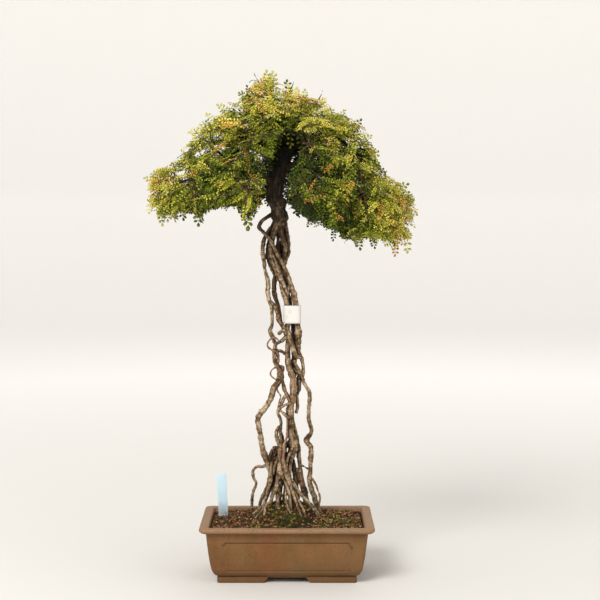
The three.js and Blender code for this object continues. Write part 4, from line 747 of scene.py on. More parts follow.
def earth_material():
    """Damp dark crumb between the granules."""
    look = Look("earth", 0.95, 0.2)
    crumb = look.noise(700, 5)
    green_patches = look.rise(look.noise(45, 3), 0.5, 0.6)
    soil = look.ramp(
        crumb, (0.36, (0.006, 0.004, 0.003)), (0.52, (0.028, 0.014, 0.008)), (0.68, (0.09, 0.04, 0.02))
    )
    soil = look.mix(soil, (0.035, 0.045, 0.008), green_patches)
    return look.finish(soil, crumb, 0.001)


def granule_material():
    """Soil granules, from dark red-brown to pale tan."""
    look = Look("granules", 0.9, 0.2)
    pitted = look.noise(1100)
    grain = look.ramp(
        look.attribute("tone"),
        (0.0, (0.012, 0.005, 0.003)),
        (0.36, (0.080, 0.026, 0.008)),
        (0.64, (0.27, 0.095, 0.026)),
        (0.86, (0.38, 0.19, 0.070)),
        (0.98, (0.52, 0.37, 0.18)),
    )
    return look.finish(look.mix(grain, (0.03, 0.015, 0.01), pitted, 0.5), pitted, 0.0006)


def moss_material():
    """Yellow-green moss."""
    look = Look("moss", 0.8, 0.25)
    patches = look.rise(look.noise(75, 3), 0.38, 0.66)
    tone = look.plus(look.times(look.attribute("tone"), 0.45), look.times(patches, 0.55))
    moss = look.ramp(
        tone,
        (0.12, (0.008, 0.010, 0.002)),
        (0.45, (0.045, 0.050, 0.004)),
        (0.68, (0.25, 0.215, 0.015)),
        (0.88, (0.56, 0.44, 0.070)),
    )
    return look.finish(moss, look.noise(1600, 2), 0.0003)


def leaf_material(settings):
    """Small leaflets from deep green in painted shade inside the crown to yellow-green in painted light and
    yellow and rust at the tips, with a painted sheen.
    """
    look = Look("leaflets", 0.5, 0.22)
    mottle = look.noise(300, 2)
    tone = look.plus(look.attribute("tone"), look.times(look.minus(mottle, 0.5), 0.5))
    leaf = look.ramp(
        tone,
        (0.04, settings.shaded_leaf_colour),
        (0.20, (0.110, 0.160, 0.005)),
        (0.42, settings.leaf_colour),
        (0.64, (0.86, 0.70, 0.13)),
        (0.84, settings.tip_colour),
        (0.97, (0.36, 0.12, 0.026)),
    )
    # A painted sheen, on leaves in painted light only.
    painted_sheen = look.rise(look.noise(260, 1, (1, 1, 1.3)), 0.58, 0.74)
    outside = look.rise(tone, 0.12, 0.42)
    leaf = look.mix(leaf, (0.90, 0.80, 0.38), look.times(painted_sheen, outside), 0.55)
    return look.finish(leaf, mottle, 0.0002, 0.5)


def twig_material():
    """Thin dark-brown twigs."""
    look = Look("twigs", 0.7, 0.3)
    streak = look.noise(500, 3)
    twig = look.ramp(
        streak, (0.35, (0.030, 0.016, 0.009)), (0.55, (0.10, 0.055, 0.025)), (0.72, (0.22, 0.14, 0.06))
    )
    return look.finish(twig, streak, 0.0003)


def label_material(settings):
    """Pale-blue plastic, splashed with soil at its foot."""
    look = Look("label_plastic", 0.38, 0.5)
    smear = look.noise(160)
    scuff = look.noise(700, 3, (1, 1, 0.15))
    near_soil = look.rise(look.height(), 0.088, 0.072)
    plastic = look.mix(settings.label_colour, (0.66, 0.76, 0.80), scuff, 0.25)
    plastic = look.mix(plastic, (0.16, 0.10, 0.06), look.times(near_soil, smear))
    return look.finish(plastic, scuff, 0.0001, 0.6)


def tag_material(settings):
    """Off-white paper tape, grubby in places."""
    look = Look("tag_paper", 0.75, 0.3)
    fibre = look.noise(800)
    grime = look.rise(look.noise(110), 0.55, 0.78)
    paper = look.mix(settings.tag_colour, (0.58, 0.52, 0.43), grime)
    paper = look.mix(paper, (0.6, 0.57, 0.52), fibre, 0.12)
    return look.finish(paper, fibre, 0.00015, 0.7)


def mesh_material():
    """Black moulded plastic, dusty."""
    look = Look("drain_plastic", 0.55, 0.4)
    dust = look.noise(500)
    plastic = look.ramp(dust, (0.45, (0.012, 0.013, 0.015)), (0.7, (0.07, 0.055, 0.045)))
    return look.finish(plastic, dust, 0.0001)


# Wood

# Sizes of the bark's lumps in millimetres
SWELLING_SIZE = 13
SMALL_SWELLING_SIZE = 5.5
KNOT_SIZE = 8
RING_SIZE = 2.6
FURROW_SIZE = 2.4
# Noise above which a knot grows, and the heights between which the bark of the roots turns to the trunk's
KNOT_LEVEL = 0.3
TRUNK_BARK = (400, 460)
# Distances from the tag's middle between which the bark rises again, and how deep it is sunk under the tag
NEAR_TAG = (13, 21)
SUNK_UNDER_TAG = 0.15
# How far a tube's end is domed, as a share of its radius
END_DOME = 0.6
# Shift of the grain from each tube to the next, so that no two have the same
GRAIN_SHIFT = 37
# Radius above which a tube gets a number of sides
TUBE_SIDES = [(7, 26), (3, 16), (FINE_RADIUS, 12), (0, 6)]
# Thin wood that ends above a height is hidden by leaves and is made coarser
HIDDEN_FROM = 470
HIDDEN_RADIUS = 5
HIDDEN_STEP = 4.0
HIDDEN_SIDES = 8
# Rays that look for crevices: how many, the flattest one's rise, and their start above the surface in metres
CREVICE_RAYS = 12
FLATTEST_RAY = 0.25
RAY_START = 0.0003
# A turn after which points round a circle don't fall on each other
GOLDEN_TURN = 2.4


def smooth_route(route, step):
    """Rows of x, y, z, radius about every step along a smooth curve through a route, in millimetres."""
    knots = np.array([list(point) for point in route], float)
    first = 2 * knots[0] - knots[1]
    last = 2 * knots[-1] - knots[-2]
    row = np.vstack([first, knots, last])
    rows = []
    for a, b, c, d in zip(row, row[1:], row[2:], row[3:]):
        count = max(2, round(np.linalg.norm((c - b)[:3]) / step))
        t = np.arange(count)[:, None] / count
        cubic = -a + 3 * b - 3 * c + d
        square = 2 * a - 5 * b + 4 * c - d
        rows.append(0.5 * (2 * b + (c - a) * t + square * t**2 + cubic * t**3))
    rows.append(knots[-1:])
    return np.vstack(rows)


def ring_frames(rows):
    """For each row of a route, two directions across it that turn as little as possible on the way."""
    tangents = np.gradient(rows[:, :3], axis=0)
    tangents /= np.linalg.norm(tangents, axis=1)[:, None]
    across = np.array([0.0, 1.0, 0.0])
    frames = []
    for tangent in tangents:
        across = across - tangent * (across @ tangent)
        across /= np.linalg.norm(across)
        frames.append((tangent, across, np.cross(tangent, across)))
    return frames


def tube_faces(ring_count, sides):
    """Faces of a tube's rings, with a pole before its first ring and one after its last."""
    faces = ring_faces(ring_count, sides)
    start_pole = ring_count * sides
    last = start_pole - sides
    for side in range(sides):
        following = (side + 1) % sides
        faces.append((following, side, start_pole))
        faces.append((last + side, last + following, start_pole + 1))
    return faces


def tube_poles(rows, frames):
    """The domed ends of a tube."""
    for end, way in ((0, -1), (-1, 1)):
        yield Vector(rows[end][:3] + way * END_DOME * rows[end][3] * frames[end][0])


def tube_shell(rows, sides):
    """A closed round tube along rows of x, y, z, radius in millimetres, domed to a pole at each end."""
    turns = [2 * math.pi * side / sides for side in range(sides)]
    frames = ring_frames(rows)
    vertices = []
    for row, (_, across, other) in zip(rows, frames):
        for turn in turns:
            vertices.append(Vector(row[:3] + row[3] * (across * math.cos(turn) + other * math.sin(turn))))
    vertices.extend(tube_poles(rows, frames))
    return vertices, tube_faces(len(rows), sides)


def noise_of(point, size, seed):
    """Smooth noise from -1 to 1 at a place, its lumps about the given size in millimetres."""
    return noise.noise(Vector(point) / size + Vector((seed, seed, seed)))


def bark_rise(point, grain, radius, knobbly, relief):
    """How far the bark stands out at a place: swellings, knots, rings, and furrows on the trunk."""
    swelling = noise_of(point, SWELLING_SIZE, 7.0) + 0.7 * noise_of(point, SMALL_SWELLING_SIZE, 3.0)
    knot = max(noise_of(point, KNOT_SIZE, 31.0) - KNOT_LEVEL, 0)
    rings = noise_of((grain.x * 0.35, grain.y * 0.35, grain.z), RING_SIZE, 5.0)
    furrows = noise_of((grain.x, grain.y, grain.z * 0.2), FURROW_SIZE, 9.0)
    upper = share_between(point[2], *TRUNK_BARK)
    rise = radius * knobbly * (swelling + 2.6 * knot)
    rise += relief * (rings * (1 - 0.7 * upper) + furrows * (0.35 + 1.1 * upper))
    from_tag = abs(point[2] - (TAG["low"] + TAG["high"]) / 2)
    near_tag = 1 - share_between(from_tag, *NEAR_TAG)
    return rise * (1 - near_tag) - SUNK_UNDER_TAG * near_tag


def bark_tube(route, number, step, sides, settings):
    """A root or limb as a closed tube with barky relief, and the grain's place at each of its points."""
    rows = smooth_route(route, step)
    frames = ring_frames(rows)
    runs = np.concatenate([[0], np.cumsum(np.linalg.norm(np.diff(rows[:, :3], axis=0), axis=1))])
    vertices = []
    grains = []
    for row, run, (_, across, other) in zip(rows, runs, frames):
        for side in range(sides):
            turn = 2 * math.pi * side / sides
            outward = across * math.cos(turn) + other * math.sin(turn)
            grain = Vector((row[3] * math.cos(turn), row[3] * math.sin(turn) + GRAIN_SHIFT * number, run))
            base = row[:3] + row[3] * outward
            rise = bark_rise(base, grain, row[3], settings.knobbliness, settings.relief / MM)
            vertices.append(Vector(base + rise * outward))
            grains.append(grain)
    vertices.extend(tube_poles(rows, frames))
    grains += [Vector((0, GRAIN_SHIFT * number, runs[end])) for end in (0, -1)]
    return vertices, tube_faces(len(rows), sides), grains


def wood_routes():
    """All routes of the wood with their names."""
    routes = [("trunk", TRUNK), *ROOTS.items(), *THREADS.items(), *LIMBS.items()]
    routes += [(spray["name"], twig_route(spray)) for spray in SPRAYS]
    routes += [("bare_twig", route) for route in BARE_TWIGS]
    return routes


def make_wood(settings):
    """All roots, the trunk and the limbs as tubes that run into each other."""
    draw = random.Random(5)
    shells = []
    grains = []
    tints = []
    for number, (name, route) in enumerate(wood_routes()):
        widest = max(point[3] for point in route)
        step = settings.ring_step / MM
        sides = next(count for radius, count in TUBE_SIDES if widest > radius)
        if route[-1][2] > HIDDEN_FROM and widest < HIDDEN_RADIUS:
            step = HIDDEN_STEP
            sides = HIDDEN_SIDES
        vertices, faces, tube_grains = bark_tube(route, number, step, sides, settings)
        shells.append((vertices, faces))
        grains.extend(tube_grains)
        pale, red = TINTS.get(name, (draw.uniform(-0.35, 0.5), draw.uniform(0, 0.6)))
        tints.extend([pale, red, 0] * len(vertices))
    vertices, faces = join_shells(shells)
    wood = new_object("trunk_and_bare_roots", [place(point) for point in vertices], faces)
    store(wood.data, "grain", "FLOAT_VECTOR", [value * MM for grain in grains for value in grain])
    store(wood.data, "tint", "FLOAT_VECTOR", tints)
    mark_crevices(wood.data, settings.crevice_reach)
    wood.data.materials.append(bark_material(settings))
    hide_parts("trunk_and_roots")
    ride_root(wood)


def mark_crevices(mesh, reach):
    """Stores on each point how much of the view around it is closed off by wood close by, which the bark
    paints as shade in crevices.
    """
    places, normals = read_points(mesh)
    tree = BVHTree.FromPolygons(places.tolist(), [tuple(face.vertices) for face in mesh.polygons])
    spread = []
    for i in range(CREVICE_RAYS):
        up = FLATTEST_RAY + (1 - FLATTEST_RAY) * (i + 0.5) / CREVICE_RAYS
        turn = GOLDEN_TURN * i
        flat = math.sqrt(1 - up * up)
        spread.append((up, flat * math.cos(turn), flat * math.sin(turn)))
    closed = np.zeros(len(places), np.float32)
    for number, (at, facing) in enumerate(zip(places.tolist(), normals.tolist())):
        normal = Vector(facing)
        side = normal.orthogonal().normalized()
        other = normal.cross(side)
        start = Vector(at) + normal * RAY_START
        hits = 0
        for up, along_side, along_other in spread:
            ray = normal * up + side * along_side + other * along_other
            if tree.ray_cast(start, ray, reach)[0] is not None:
                hits += 1
        closed[number] = hits / CREVICE_RAYS
    store(mesh, "crevice", "FLOAT", closed)


def join_into(piece, other):
    """Joins another object's mesh into a piece."""
    mesh = bmesh.new()
    mesh.from_mesh(piece.data)
    mesh.from_mesh(other.data)
    mesh.to_mesh(piece.data)
    mesh.free()
    piece.data.polygons.foreach_set("use_smooth", [True] * len(piece.data.polygons))
    remove_object(other)


# Crown

# How far below its lowest place the opening goes on, and the depth before which it is kept free of leaves
OPENING_DROP = 20
OPENING_DEPTH = 2
# How far past a spray's own space its leaves and its twigs may reach
LEAF_OVERLAP = 10
TWIG_OVERLAP = 5
# How far a leaf may stand out of the crown's form. The last of these isn't used near the crown's top.
OVERHANGS = (0, 1, 3, 7)
EVEN_TOP_FROM = 585
# Shares of a leaf's length that are tried, to make it fit
SHORTER_LEAVES = (1.0, 0.85, 0.7)
# Leaves behind the trunk grow without gaps: least depth, middle and half width
BEHIND_TRUNK = (8, -12, 48)
# Leaves grow thinner towards the right end of the crown, and more so at its lower right corner
THIN_FROM, THIN_TO = 118, 178
THIN_CORNER = {"from_x": 112, "under": 422, "share": 0.3}
# Where the crown's colours change, in millimetres: sideways from its axis, at its top (painted light), over
# the trunk (painted shade, with its middle and width there), and under its surface (painted light that fades
# deeper in). Then the tones of rusty leaves.
EDGE_REACH = (95, 155)
LIT_CREST = (575, 600)
SHADED_BELOW = (560, 520)
SHADE_MIDDLE, SHADE_WIDTH = 14, 42
OUTER_DEPTH = 30
RUST = (0.66, 0.95)
# Sizes of the noise that sets patches of colour and gaps between leaves
TONE_PATCH_SIZE = 19
GAP_SIZE = 11
# Room that a twig needs ahead and below it, for its leaves
ROOM_AHEAD, ROOM_BELOW = 4, 7
# Twigs: step between points, thinnest radius, droop, how much the heading wanders, and where they fork
TWIG_STEP = 2.5
THINNEST_TWIG = 0.22
TWIG_DROOP = 0.055
TWIG_WANDER = 0.13
FIRST_FORK = (0.22, 0.34)
NEXT_FORK = (0.24, 0.36)
# How far from a spray's heart its twig ends, and how high it is arched, as a share of its length
TWIG_STOP = 4
TWIG_ARCH = 0.08
# How far a listed leaf's foot is drawn back into the crown, as a share of its length
FOOT_DRAWN_BACK = 0.35


def crown_at(x, y):
    """The crown's top, its underside and whether it reaches so far, over a place."""
    dx = x - CROWN_AXIS
    distance = math.hypot(dx, y / CROWN_DEPTH_RATIO)
    to_right = 0.5 + 0.5 * dx / max(distance, 1)

    def blend(left, right):
        return left * (1 - to_right) + right * to_right

    top = blend(along(CROWN_TOP_LEFT, distance), along(CROWN_TOP_RIGHT, distance))
    under = blend(along(CROWN_UNDER_LEFT, distance), along(CROWN_UNDER_RIGHT, distance))
    reach = blend(CROWN_TOP_LEFT[-1][0], CROWN_TOP_RIGHT[-1][0])
    return top, under, distance < reach


def is_in_opening(x, z):
    low, high = OPENING[0][0], OPENING[-1][0]
    left = along([(at, side) for at, side, _ in OPENING], z)
    right = along([(at, side) for at, _, side in OPENING], z)
    return low - OPENING_DROP < z < high and left < x < right


def is_in_crown(point, ease=0.0):
    """Whether a place lies in the crown's form, seen from all round and from the front."""
    x, y, z = point
    top, under, is_within = crown_at(x, y)
    lowest = max(under, along(FRONT_UNDER, x))
    highest = min(top, along(FRONT_TOP, x))
    is_before_trunk = y < OPENING_DEPTH and is_in_opening(x, z)
    return is_within and lowest - ease < z < highest + ease and not is_before_trunk


def place_sprays():
    """Name, centre, reach and droop of every spray."""
    sprays = []
    for name, distance, count, turn, below, reach, droop in SPRAY_RINGS:
        for i in range(count):
            angle = math.radians(turn + 360 / count * i)
            x = CROWN_AXIS + distance * math.cos(angle)
            y = distance * CROWN_DEPTH_RATIO * math.sin(angle)
            title = f"{name}_{i + 1}" if count > 1 else name
            centre = Vector((x, y, crown_at(x, y)[0] - below))
            sprays.append({"name": title, "centre": centre, "reach": reach, "droop": droop})
    for i, (x, y, z, reach) in enumerate(HANGING_SPRAYS):
        title = f"hanging_{i + 1}"
        sprays.append({"name": title, "centre": Vector((x, y, z)), "reach": reach, "droop": HANGING_DROOP})
    return sprays


SPRAYS = place_sprays()


def room_in_cell(point, own):
    """Room between a point and the walls that part one spray's space from its neighbours."""
    room = math.inf
    own_power = (point - own["centre"]).length_squared - own["reach"] ** 2
    for other in SPRAYS:
        if other is own:
            continue
        power = (point - other["centre"]).length_squared - other["reach"] ** 2
        room = min(room, (power - own_power) / (2 * (other["centre"] - own["centre"]).length))
    return room


def nearest_on_limbs(centre):
    """The place on the upper trunk or a limb that is nearest to a spray's heart."""
    points = []
    for route in [TRUNK[:6], *LIMBS.values()]:
        points += [Vector(row[:3]) for row in smooth_route(route, 4)[2:]]
    return min(points, key=lambda point: (point - centre).length)


def twig_route(spray):
    """The twig from the nearest limb to just short of a spray's heart, arched a little upwards."""
    centre = spray["centre"]
    start = nearest_on_limbs(centre)
    end = start.lerp(centre, max(0.3, 1 - TWIG_STOP / (centre - start).length))
    middle = start.lerp(end, 0.5)
    middle.z += TWIG_ARCH * (end - start).length
    thick = 1.2 + 0.03 * spray["reach"]
    return [[*start, thick], [*middle, thick * 0.85], [*end, thick * 0.7]]


def fronds_of(own):
    """The listed leaves whose foot lies nearest to a spray, as (foot, tip)."""
    fronds = []
    for foot_x, foot_z, tip_x, tip_z, y in FRONDS:
        foot = Vector((foot_x, y, foot_z))
        nearest = min(SPRAYS, key=lambda spray: (spray["centre"] - foot).length - spray["reach"])
        if nearest is own:
            tip = Vector((tip_x, y - 1, tip_z))
            fronds.append((foot + (foot - tip) * FOOT_DRAWN_BACK, tip))
    return fronds


def random_direction(draw):
    z = draw.uniform(-1, 1)
    turn = draw.uniform(0, 2 * math.pi)
    flat = math.sqrt(1 - z * z)
    return Vector((flat * math.cos(turn), flat * math.sin(turn), z))


def turn_towards(ahead, up):
    """The turn that points a leaf ahead, with its upper side up."""
    side = up.cross(ahead).normalized()
    return Matrix((ahead, side, ahead.cross(side))).transposed().to_euler()


class Spray:
    """A spray's twigs as points and edges, and its leaves as loose points with a turn, size and tone."""

    def __init__(self, own, settings, draw):
        self.own = own
        self.settings = settings
        self.draw = draw
        self.points = []
        self.edges = []
        self.radii = []
        self.turns = []
        self.sizes = []
        self.tones = []
        centre = own["centre"]
        self.outward = Vector((centre.x - CROWN_AXIS, centre.y, centre.z - CROWN_MIDDLE)).normalized()

    def add_point(self, point, radius, turn=(0, 0, 0), size=0.0, tone=0.0):
        self.points.append(place(point))
        self.radii.append(radius * MM)
        self.turns.extend(turn)
        self.sizes.append(size)
        self.tones.append(tone)
        return len(self.points) - 1

    def fitting_leaf(self, foot, ahead, full):
        """A heading and length that keep a leaf in the crown, turned level or shortened where it must."""
        level = Vector((ahead.x, ahead.y, ahead.z * 0.25 - 0.1)).normalized()
        ease = self.draw.choice(OVERHANGS if foot.z < EVEN_TOP_FROM else OVERHANGS[:-1])
        for heading in (ahead, level):
            for share in SHORTER_LEAVES:
                tip = foot + heading * full * share
                if is_in_crown(tip, ease) and room_in_cell(tip, self.own) > -LEAF_OVERLAP:
                    return heading, share
        return None, 0

    def is_left_out(self, foot):
        """Whether a leaf is left out, in the crown's gaps and more often towards its right end."""
        least_depth, middle, half_width = BEHIND_TRUNK
        is_behind_trunk = foot.y > least_depth and abs(foot.x - middle) < half_width
        if noise_of(foot, GAP_SIZE, 2.0) < self.settings.gap_level and not is_behind_trunk:
            return True
        thinned = (foot.x - THIN_FROM) / (THIN_TO - THIN_FROM)
        if foot.x > THIN_CORNER["from_x"] and foot.z < THIN_CORNER["under"]:
            thinned += THIN_CORNER["share"]
        return self.draw.random() < thinned

    def add_leaf(self, foot, ahead, is_tip=False):
        """A compound leaf, where one grows and has room."""
        if self.is_left_out(foot):
            return
        draw = self.draw
        full = self.settings.leaf_length / MM * draw.uniform(0.72, 1.15)
        heading, share = self.fitting_leaf(foot, ahead, full)
        if not share:
            return
        up = (self.outward * 0.8 + Vector((0, -0.15, 0.5)) + random_direction(draw) * 0.95).normalized()
        size = share * full * MM / self.settings.leaf_length
        self.add_point(foot, 0, turn_towards(heading, up), size, self.shade_and_tone_at(foot, is_tip))

    def shade_and_tone_at(self, point, is_tip):
        """Deep green in painted shade inside, below and over the trunk, yellow-green in painted light
        outside and on top, rust in patches near the tips.
        """
        outer = math.exp(-max(crown_at(point.x, point.y)[0] - point.z, 0) / OUTER_DEPTH)
        edge = share_between(abs(point.x - CROWN_AXIS), *EDGE_REACH)
        facing = (point - self.own["centre"]).dot(self.outward) / self.own["reach"]
        patch = noise.noise(point / TONE_PATCH_SIZE)
        lit_crest = share_between(point.z, *LIT_CREST)
        shaded = math.exp(-((point.x - SHADE_MIDDLE) / SHADE_WIDTH) ** 2)
        shaded *= share_between(point.z, *SHADED_BELOW)
        shaded *= 1 + (0.8 if point.y > 5 else 0)
        lift = (point.z - self.own["centre"].z) / self.own["reach"]
        # Painted light and shade: lighter on each spray's outer and upper side, near the crown's surface and
        # at its top, darker over the trunk. The sides, the patches and the random part vary the leaves' own
        # colour.
        tone = 0.235 + 0.15 * facing + 0.12 * lift + 0.10 * outer + 0.15 * edge + 0.34 * patch
        tone += 0.22 * lit_crest - 0.28 * shaded + self.draw.gauss(0, 0.10)
        if self.draw.random() < (0.12 if is_tip else 0.05) * (0.4 + outer + 0.8 * edge):
            tone = self.draw.uniform(*RUST)
        return clamp(tone)

    def has_room(self, point, heading):
        """Whether a twig may grow on to a place, with room for the leaves beyond it."""
        beyond = point + heading * ROOM_AHEAD + Vector((0, 0, -ROOM_BELOW))
        if not is_in_crown(point) or not is_in_crown(beyond, ROOM_AHEAD):
            return False
        return room_in_cell(point, self.own) > -TWIG_OVERLAP

    def grow(self, start, heading, length, radius, forks):
        """One twig with leaves on both sides, and side twigs on it."""
        draw = self.draw
        droop = Vector((0, 0, -TWIG_DROOP * (0.3 + self.own["droop"])))
        point = start.copy()
        heading = heading.copy()
        last = self.add_point(point, radius)
        travelled = 0.0
        next_leaf = draw.uniform(2, 5)
        next_fork = length * draw.uniform(*FIRST_FORK)
        side_way = 1 if draw.random() < 0.5 else -1
        while travelled < length:
            heading = (heading + droop + random_direction(draw) * TWIG_WANDER).normalized()
            ahead = point + heading * TWIG_STEP
            if not self.has_room(ahead, heading):
                heading = (heading * Vector((1, 1, 0)) + random_direction(draw) * 0.4).normalized()
                ahead = point + heading * TWIG_STEP
                if not self.has_room(ahead, heading):
                    break
            point = ahead
            travelled += TWIG_STEP
            thin = radius * (1 - 0.65 * travelled / length)
            here = self.add_point(point, max(thin, THINNEST_TWIG))
            self.edges.append((last, here))
            last = here
            if travelled > next_leaf:
                across = heading.cross(Vector((0, 0, 1)) + random_direction(draw) * 0.5).normalized()
                lean = heading * draw.uniform(0.45, 0.9) + across * side_way
                lean += self.outward * 0.25 + random_direction(draw) * 0.2
                lean.z -= 0.15 + 0.45 * self.own["droop"]
                self.add_leaf(point.copy(), lean.normalized())
                side_way = -side_way
                next_leaf += self.settings.leaf_spacing / MM * draw.uniform(0.75, 1.25)
            if forks and travelled > next_fork:
                across = heading.cross(random_direction(draw)).normalized()
                branch = (heading * 0.75 + across * 0.8).normalized()
                self.grow(point, branch, (length - travelled) * 0.85, thin * 0.8, forks - 1)
                next_fork += length * draw.uniform(*NEXT_FORK)
        tip = (heading + random_direction(draw) * 0.2).normalized()
        self.add_leaf(point.copy(), tip, True)

    def grow_all(self):
        """Twigs that fan out from the spray's heart on all sides, the outer side more densely."""
        centre = self.own["centre"]
        count = self.settings.twigs
        side = Vector((-self.outward.y, self.outward.x, 0.01)).normalized()
        upper = self.outward.cross(side)
        start_turn = self.draw.uniform(0, 2 * math.pi)
        for i in range(count):
            polar = math.acos(1 - 1.62 * (i + 0.5) / count)
            turn = start_turn + GOLDEN_TURN * i
            heading = self.outward * math.cos(polar)
            heading += (side * math.cos(turn) + upper * math.sin(turn)) * math.sin(polar)
            heading = (heading + random_direction(self.draw) * 0.25).normalized()
            length = self.own["reach"] * self.draw.uniform(1.0, 1.4)
            self.grow(centre + heading * 1.5, heading, length, 0.75, 2)

    def add_frond(self, foot, tip):
        """A single leaf that stands out of the crown, on a thin twig from the spray's nearest twig."""
        twigs = [point for point, size in zip(self.points, self.sizes) if not size]
        nearest = min(twigs, key=lambda point: (point - place(foot)).length_squared)
        start = self.add_point((nearest - POT_CENTRE) / MM, 0.3)
        end = self.add_point(foot, THINNEST_TWIG)
        self.edges.append((start, end))
        ahead = (tip - foot).normalized()
        turn = turn_towards(ahead, Vector((self.draw.uniform(-0.5, 0.5), -1, 0.3)))
        size = (tip - foot).length * MM / self.settings.leaf_length
        self.add_point(foot, 0, turn, size, self.shade_and_tone_at(foot, False))

    def to_object(self, name):
        piece = new_object(name, self.points, [], self.edges)
        store(piece.data, "radius", "FLOAT", self.radii)
        store(piece.data, "size", "FLOAT", self.sizes)
        store(piece.data, "tone", "FLOAT", self.tones)
        store(piece.data, "is_leaf", "BOOLEAN", [size > 0 for size in self.sizes])
        store(piece.data, "turn", "FLOAT_VECTOR", self.turns)
        return piece


# A leaflet's outline from its foot, as shares of its length and width
LEAFLET_OUTLINE = [(0, 0), (0.50, 0.50), (0.94, 0.30), (0.94, -0.30), (0.50, -0.50)]
LEAFLET_DOME = 0.2
LEAFLET_CREST = 0.55
LEAFLET_WIDTH = 0.64
# Where on its stalk a leaf's first pair of leaflets sits, and how far the last one is from it
FIRST_PAIR, PAIRS_RUN = 0.13, 0.74
STALK_SAG = 0.17
STALK_END = 0.94


def leaflet_shell(foot, ahead, normal, length, width):
    """A small rounded blade, closed, domed on top."""
    side = normal.cross(ahead).normalized()
    rim = [foot + ahead * (u * length) + side * (v * width) for u, v in LEAFLET_OUTLINE]
    vertices = [*rim, foot + ahead * (LEAFLET_CREST * length) + normal * (LEAFLET_DOME * width)]
    top = len(rim)
    faces = [(i, (i + 1) % top, top) for i in range(top)]
    faces.append(tuple(reversed(range(top))))
    return vertices, [tuple(reversed(face)) for face in faces]


def leaf_shell(pairs, length, draw):
    """A compound leaf: a thin stalk with pairs of leaflets and one at its tip."""
    bow = draw.uniform(-0.1, 0.1)

    def on_stalk(share):
        return Vector((length * share, bow * length * share**2, -STALK_SAG * length * share**2))

    stalk_rows = np.array([[*on_stalk(share), 0.26 - 0.12 * share] for share in (0, 0.5, 0.96)])
    shells = [tube_shell(stalk_rows, 3)]
    for pair in range(pairs):
        share = FIRST_PAIR + PAIRS_RUN * pair / (pairs - 1)
        size = length * (0.20 - 0.008 * pairs + 0.025 * math.sin(math.pi * (pair + 1) / (pairs + 1)))
        for way in (-1, 1):
            splay = math.radians(draw.uniform(52, 80))
            ahead = Vector((math.cos(splay), way * math.sin(splay), draw.uniform(-0.45, 0.2))).normalized()
            normal = Vector((draw.uniform(-0.5, 0.5), -way * draw.uniform(-0.25, 0.6), 1))
            normal = (normal - ahead * normal.dot(ahead)).normalized()
            foot = on_stalk(share) + Vector((0, way * 0.15, 0))
            blade = size * draw.uniform(0.9, 1.15)
            shells.append(leaflet_shell(foot, ahead, normal, blade, size * LEAFLET_WIDTH))
    tip_ahead = Vector((1, draw.uniform(-0.15, 0.15), -0.35)).normalized()
    tip_normal = Vector((0.35, 0, 1)).normalized()
    shells.append(leaflet_shell(on_stalk(STALK_END), tip_ahead, tip_normal, length * 0.17, length * 0.12))
    return join_shells(shells)


def make_kinds(name, all_shells):
    """A collection of small template objects, not shown, in metres."""
    kinds = bpy.data.collections.new(name)
    for number, (vertices, faces) in enumerate(all_shells):
        mesh = bpy.data.meshes.new(f"{name}_{number}")
        mesh.from_pydata([tuple(Vector(v) * MM) for v in vertices], [], faces)
        mesh.polygons.foreach_set("use_smooth", [True] * len(mesh.polygons))
        kinds.objects.link(bpy.data.objects.new(mesh.name, mesh))
    return kinds


def remove_kinds(kinds):
    for template in list(kinds.objects):
        remove_object(template)
    bpy.data.collections.remove(kinds)


def new_tree(name, inputs):
    """A Geometry Nodes tree with a geometry input and output and other named inputs."""
    tree = bpy.data.node_groups.new(name, "GeometryNodeTree")
    tree.interface.new_socket("Geometry", in_out="INPUT", socket_type="NodeSocketGeometry")
    for title, kind in inputs:
        tree.interface.new_socket(title, in_out="INPUT", socket_type=f"NodeSocket{kind}")
    tree.interface.new_socket("Geometry", in_out="OUTPUT", socket_type="NodeSocketGeometry")
    entry = tree.nodes.new("NodeGroupInput").outputs
    return tree, entry


def run_tree(piece, tree, values):
    """Puts a tree on a piece, sets its inputs and makes the result a plain mesh."""
    modifier = piece.modifiers.new(tree.name, "NODES")
    modifier.node_group = tree
    for item in tree.interface.items_tree:
        if item.in_out == "INPUT" and item.name in values:
            modifier[item.identifier] = values[item.name]
    return apply_modifiers(piece)


def attribute(tree, name, kind):
    node = add_node(tree, "GeometryNodeInputNamedAttribute", {"Name": name}, data_type=kind)
    return node.outputs["Attribute"]


def with_material(tree, geometry, material):
    node = add_node(tree, "GeometryNodeSetMaterial", {"Geometry": geometry, "Material": material})
    return node.outputs[0]


def picked_kinds(tree, collection):
    """The templates of a collection, as pieces to pick from."""
    inputs = {"Collection": collection, "Separate Children": True, "Reset Children": True}
    return add_node(tree, "GeometryNodeCollectionInfo", inputs).outputs[0]


def random_between(tree, low, high, seed):
    node = add_node(tree, "FunctionNodeRandomValue", {2: low, 3: high, "Seed": seed})
    return node.outputs[1]


